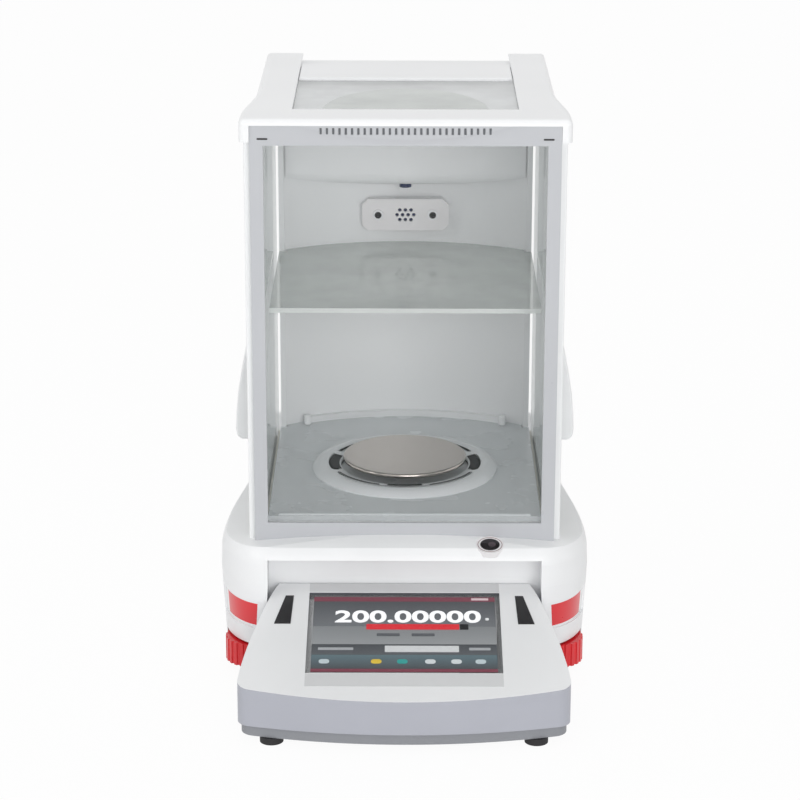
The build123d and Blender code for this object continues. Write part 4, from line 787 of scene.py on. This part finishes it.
# Floor and world: the share of plain white that the eye sees in the floor, and the world's light
FLOOR_REACH = 6.0
FLOOR_COLOUR = (0.9, 0.9, 0.9, 1)
FLOOR_ROUGHNESS = 0.35
FLOOR_WHITE = 0.95
WORLD_LIGHT = 0.56


def white_to_eye(tree, share):
    """The share of plain white that the camera, mirrors and glass see, and that light doesn't."""
    path = add_node(tree, "ShaderNodeLightPath")
    seen = path.outputs["Is Camera Ray"]
    for ray in ("Is Glossy Ray", "Is Transmission Ray"):
        seen = maths(tree, "MAXIMUM", seen, path.outputs[ray])
    return maths(tree, "MULTIPLY", seen, share)


def floor_look():
    material = bpy.data.materials.new("studio_floor")
    material.use_nodes = True
    tree = material.node_tree
    base = tree.nodes["Principled BSDF"]
    give(tree, base.inputs["Base Color"], FLOOR_COLOUR)
    give(tree, base.inputs["Roughness"], FLOOR_ROUGHNESS)
    glow = add_node(tree, "ShaderNodeEmission", {"Color": PURE_WHITE})
    inputs = {0: white_to_eye(tree, FLOOR_WHITE), 1: base.outputs[0], 2: glow.outputs[0]}
    blend = add_node(tree, "ShaderNodeMixShader", inputs)
    give(tree, tree.nodes["Material Output"].inputs["Surface"], blend.outputs[0])
    return material


def studio_floor():
    mesh = bpy.data.meshes.new("floor")
    corners = [(-FLOOR_REACH, -FLOOR_REACH, 0), (FLOOR_REACH, -FLOOR_REACH, 0),
               (FLOOR_REACH, FLOOR_REACH, 0), (-FLOOR_REACH, FLOOR_REACH, 0)]
    mesh.from_pydata(corners, [], [(0, 1, 2, 3)])
    mesh.materials.append(floor_look())
    floor = bpy.data.objects.new("floor", mesh)
    bpy.context.scene.collection.objects.link(floor)


def studio_world():
    """Plain white to the eye, and a soft even light on the object."""
    world = bpy.data.worlds.new("studio")
    bpy.context.scene.world = world
    world.use_nodes = True
    tree = world.node_tree
    inputs = {"Value": white_to_eye(tree, 1.0), "To Min": WORLD_LIGHT, "To Max": 1.0}
    level = add_node(tree, "ShaderNodeMapRange", inputs)
    backdrop = tree.nodes["Background"]
    give(tree, backdrop.inputs["Color"], PURE_WHITE)
    give(tree, backdrop.inputs["Strength"], level.outputs["Result"])


def softbox(name, place, aim, size, power):
    lamp = bpy.data.lights.new(name, "AREA")
    lamp.shape = "RECTANGLE"
    lamp.size, lamp.size_y = size
    lamp.energy = power
    lamp_object = bpy.data.objects.new(name, lamp)
    lamp_object.location = place
    lamp_object.rotation_euler = (Vector(aim) - Vector(place)).to_track_quat("-Z", "Y").to_euler()
    bpy.context.scene.collection.objects.link(lamp_object)


def photo_camera():
    optics = bpy.data.cameras.new("camera")
    optics.sensor_width = SENSOR_MM
    optics.lens = FOCAL_PIXELS * SENSOR_MM / IMAGE_WIDTH
    optics.shift_x = -(CENTRE_COLUMN - IMAGE_WIDTH / 2) / IMAGE_WIDTH
    camera = bpy.data.objects.new("camera", optics)
    camera.matrix_world = (Matrix.Translation(CAMERA_PLACE) @ Matrix.Rotation(math.pi / 2 - PITCH, 4, "X")
                           @ Matrix.Rotation(ROLL, 4, "Z"))
    bpy.context.scene.collection.objects.link(camera)
    bpy.context.scene.camera = camera


studio_floor()
studio_world()
softbox("top_box", place=(0.0, -0.1, 1.6), aim=(0, 0, 0.1), size=(1.6, 1.2), power=3.6)
softbox("left_box", place=(-1.5, -0.9, 1.0), aim=(0, 0, 0.15), size=(1.0, 1.0), power=5.5)
softbox("front_box", place=(0.4, -2.3, 0.62), aim=(0, 0, 0.15), size=(1.4, 1.0), power=18.0)
photo_camera()
bpy.context.scene.view_settings.view_transform = "Standard"
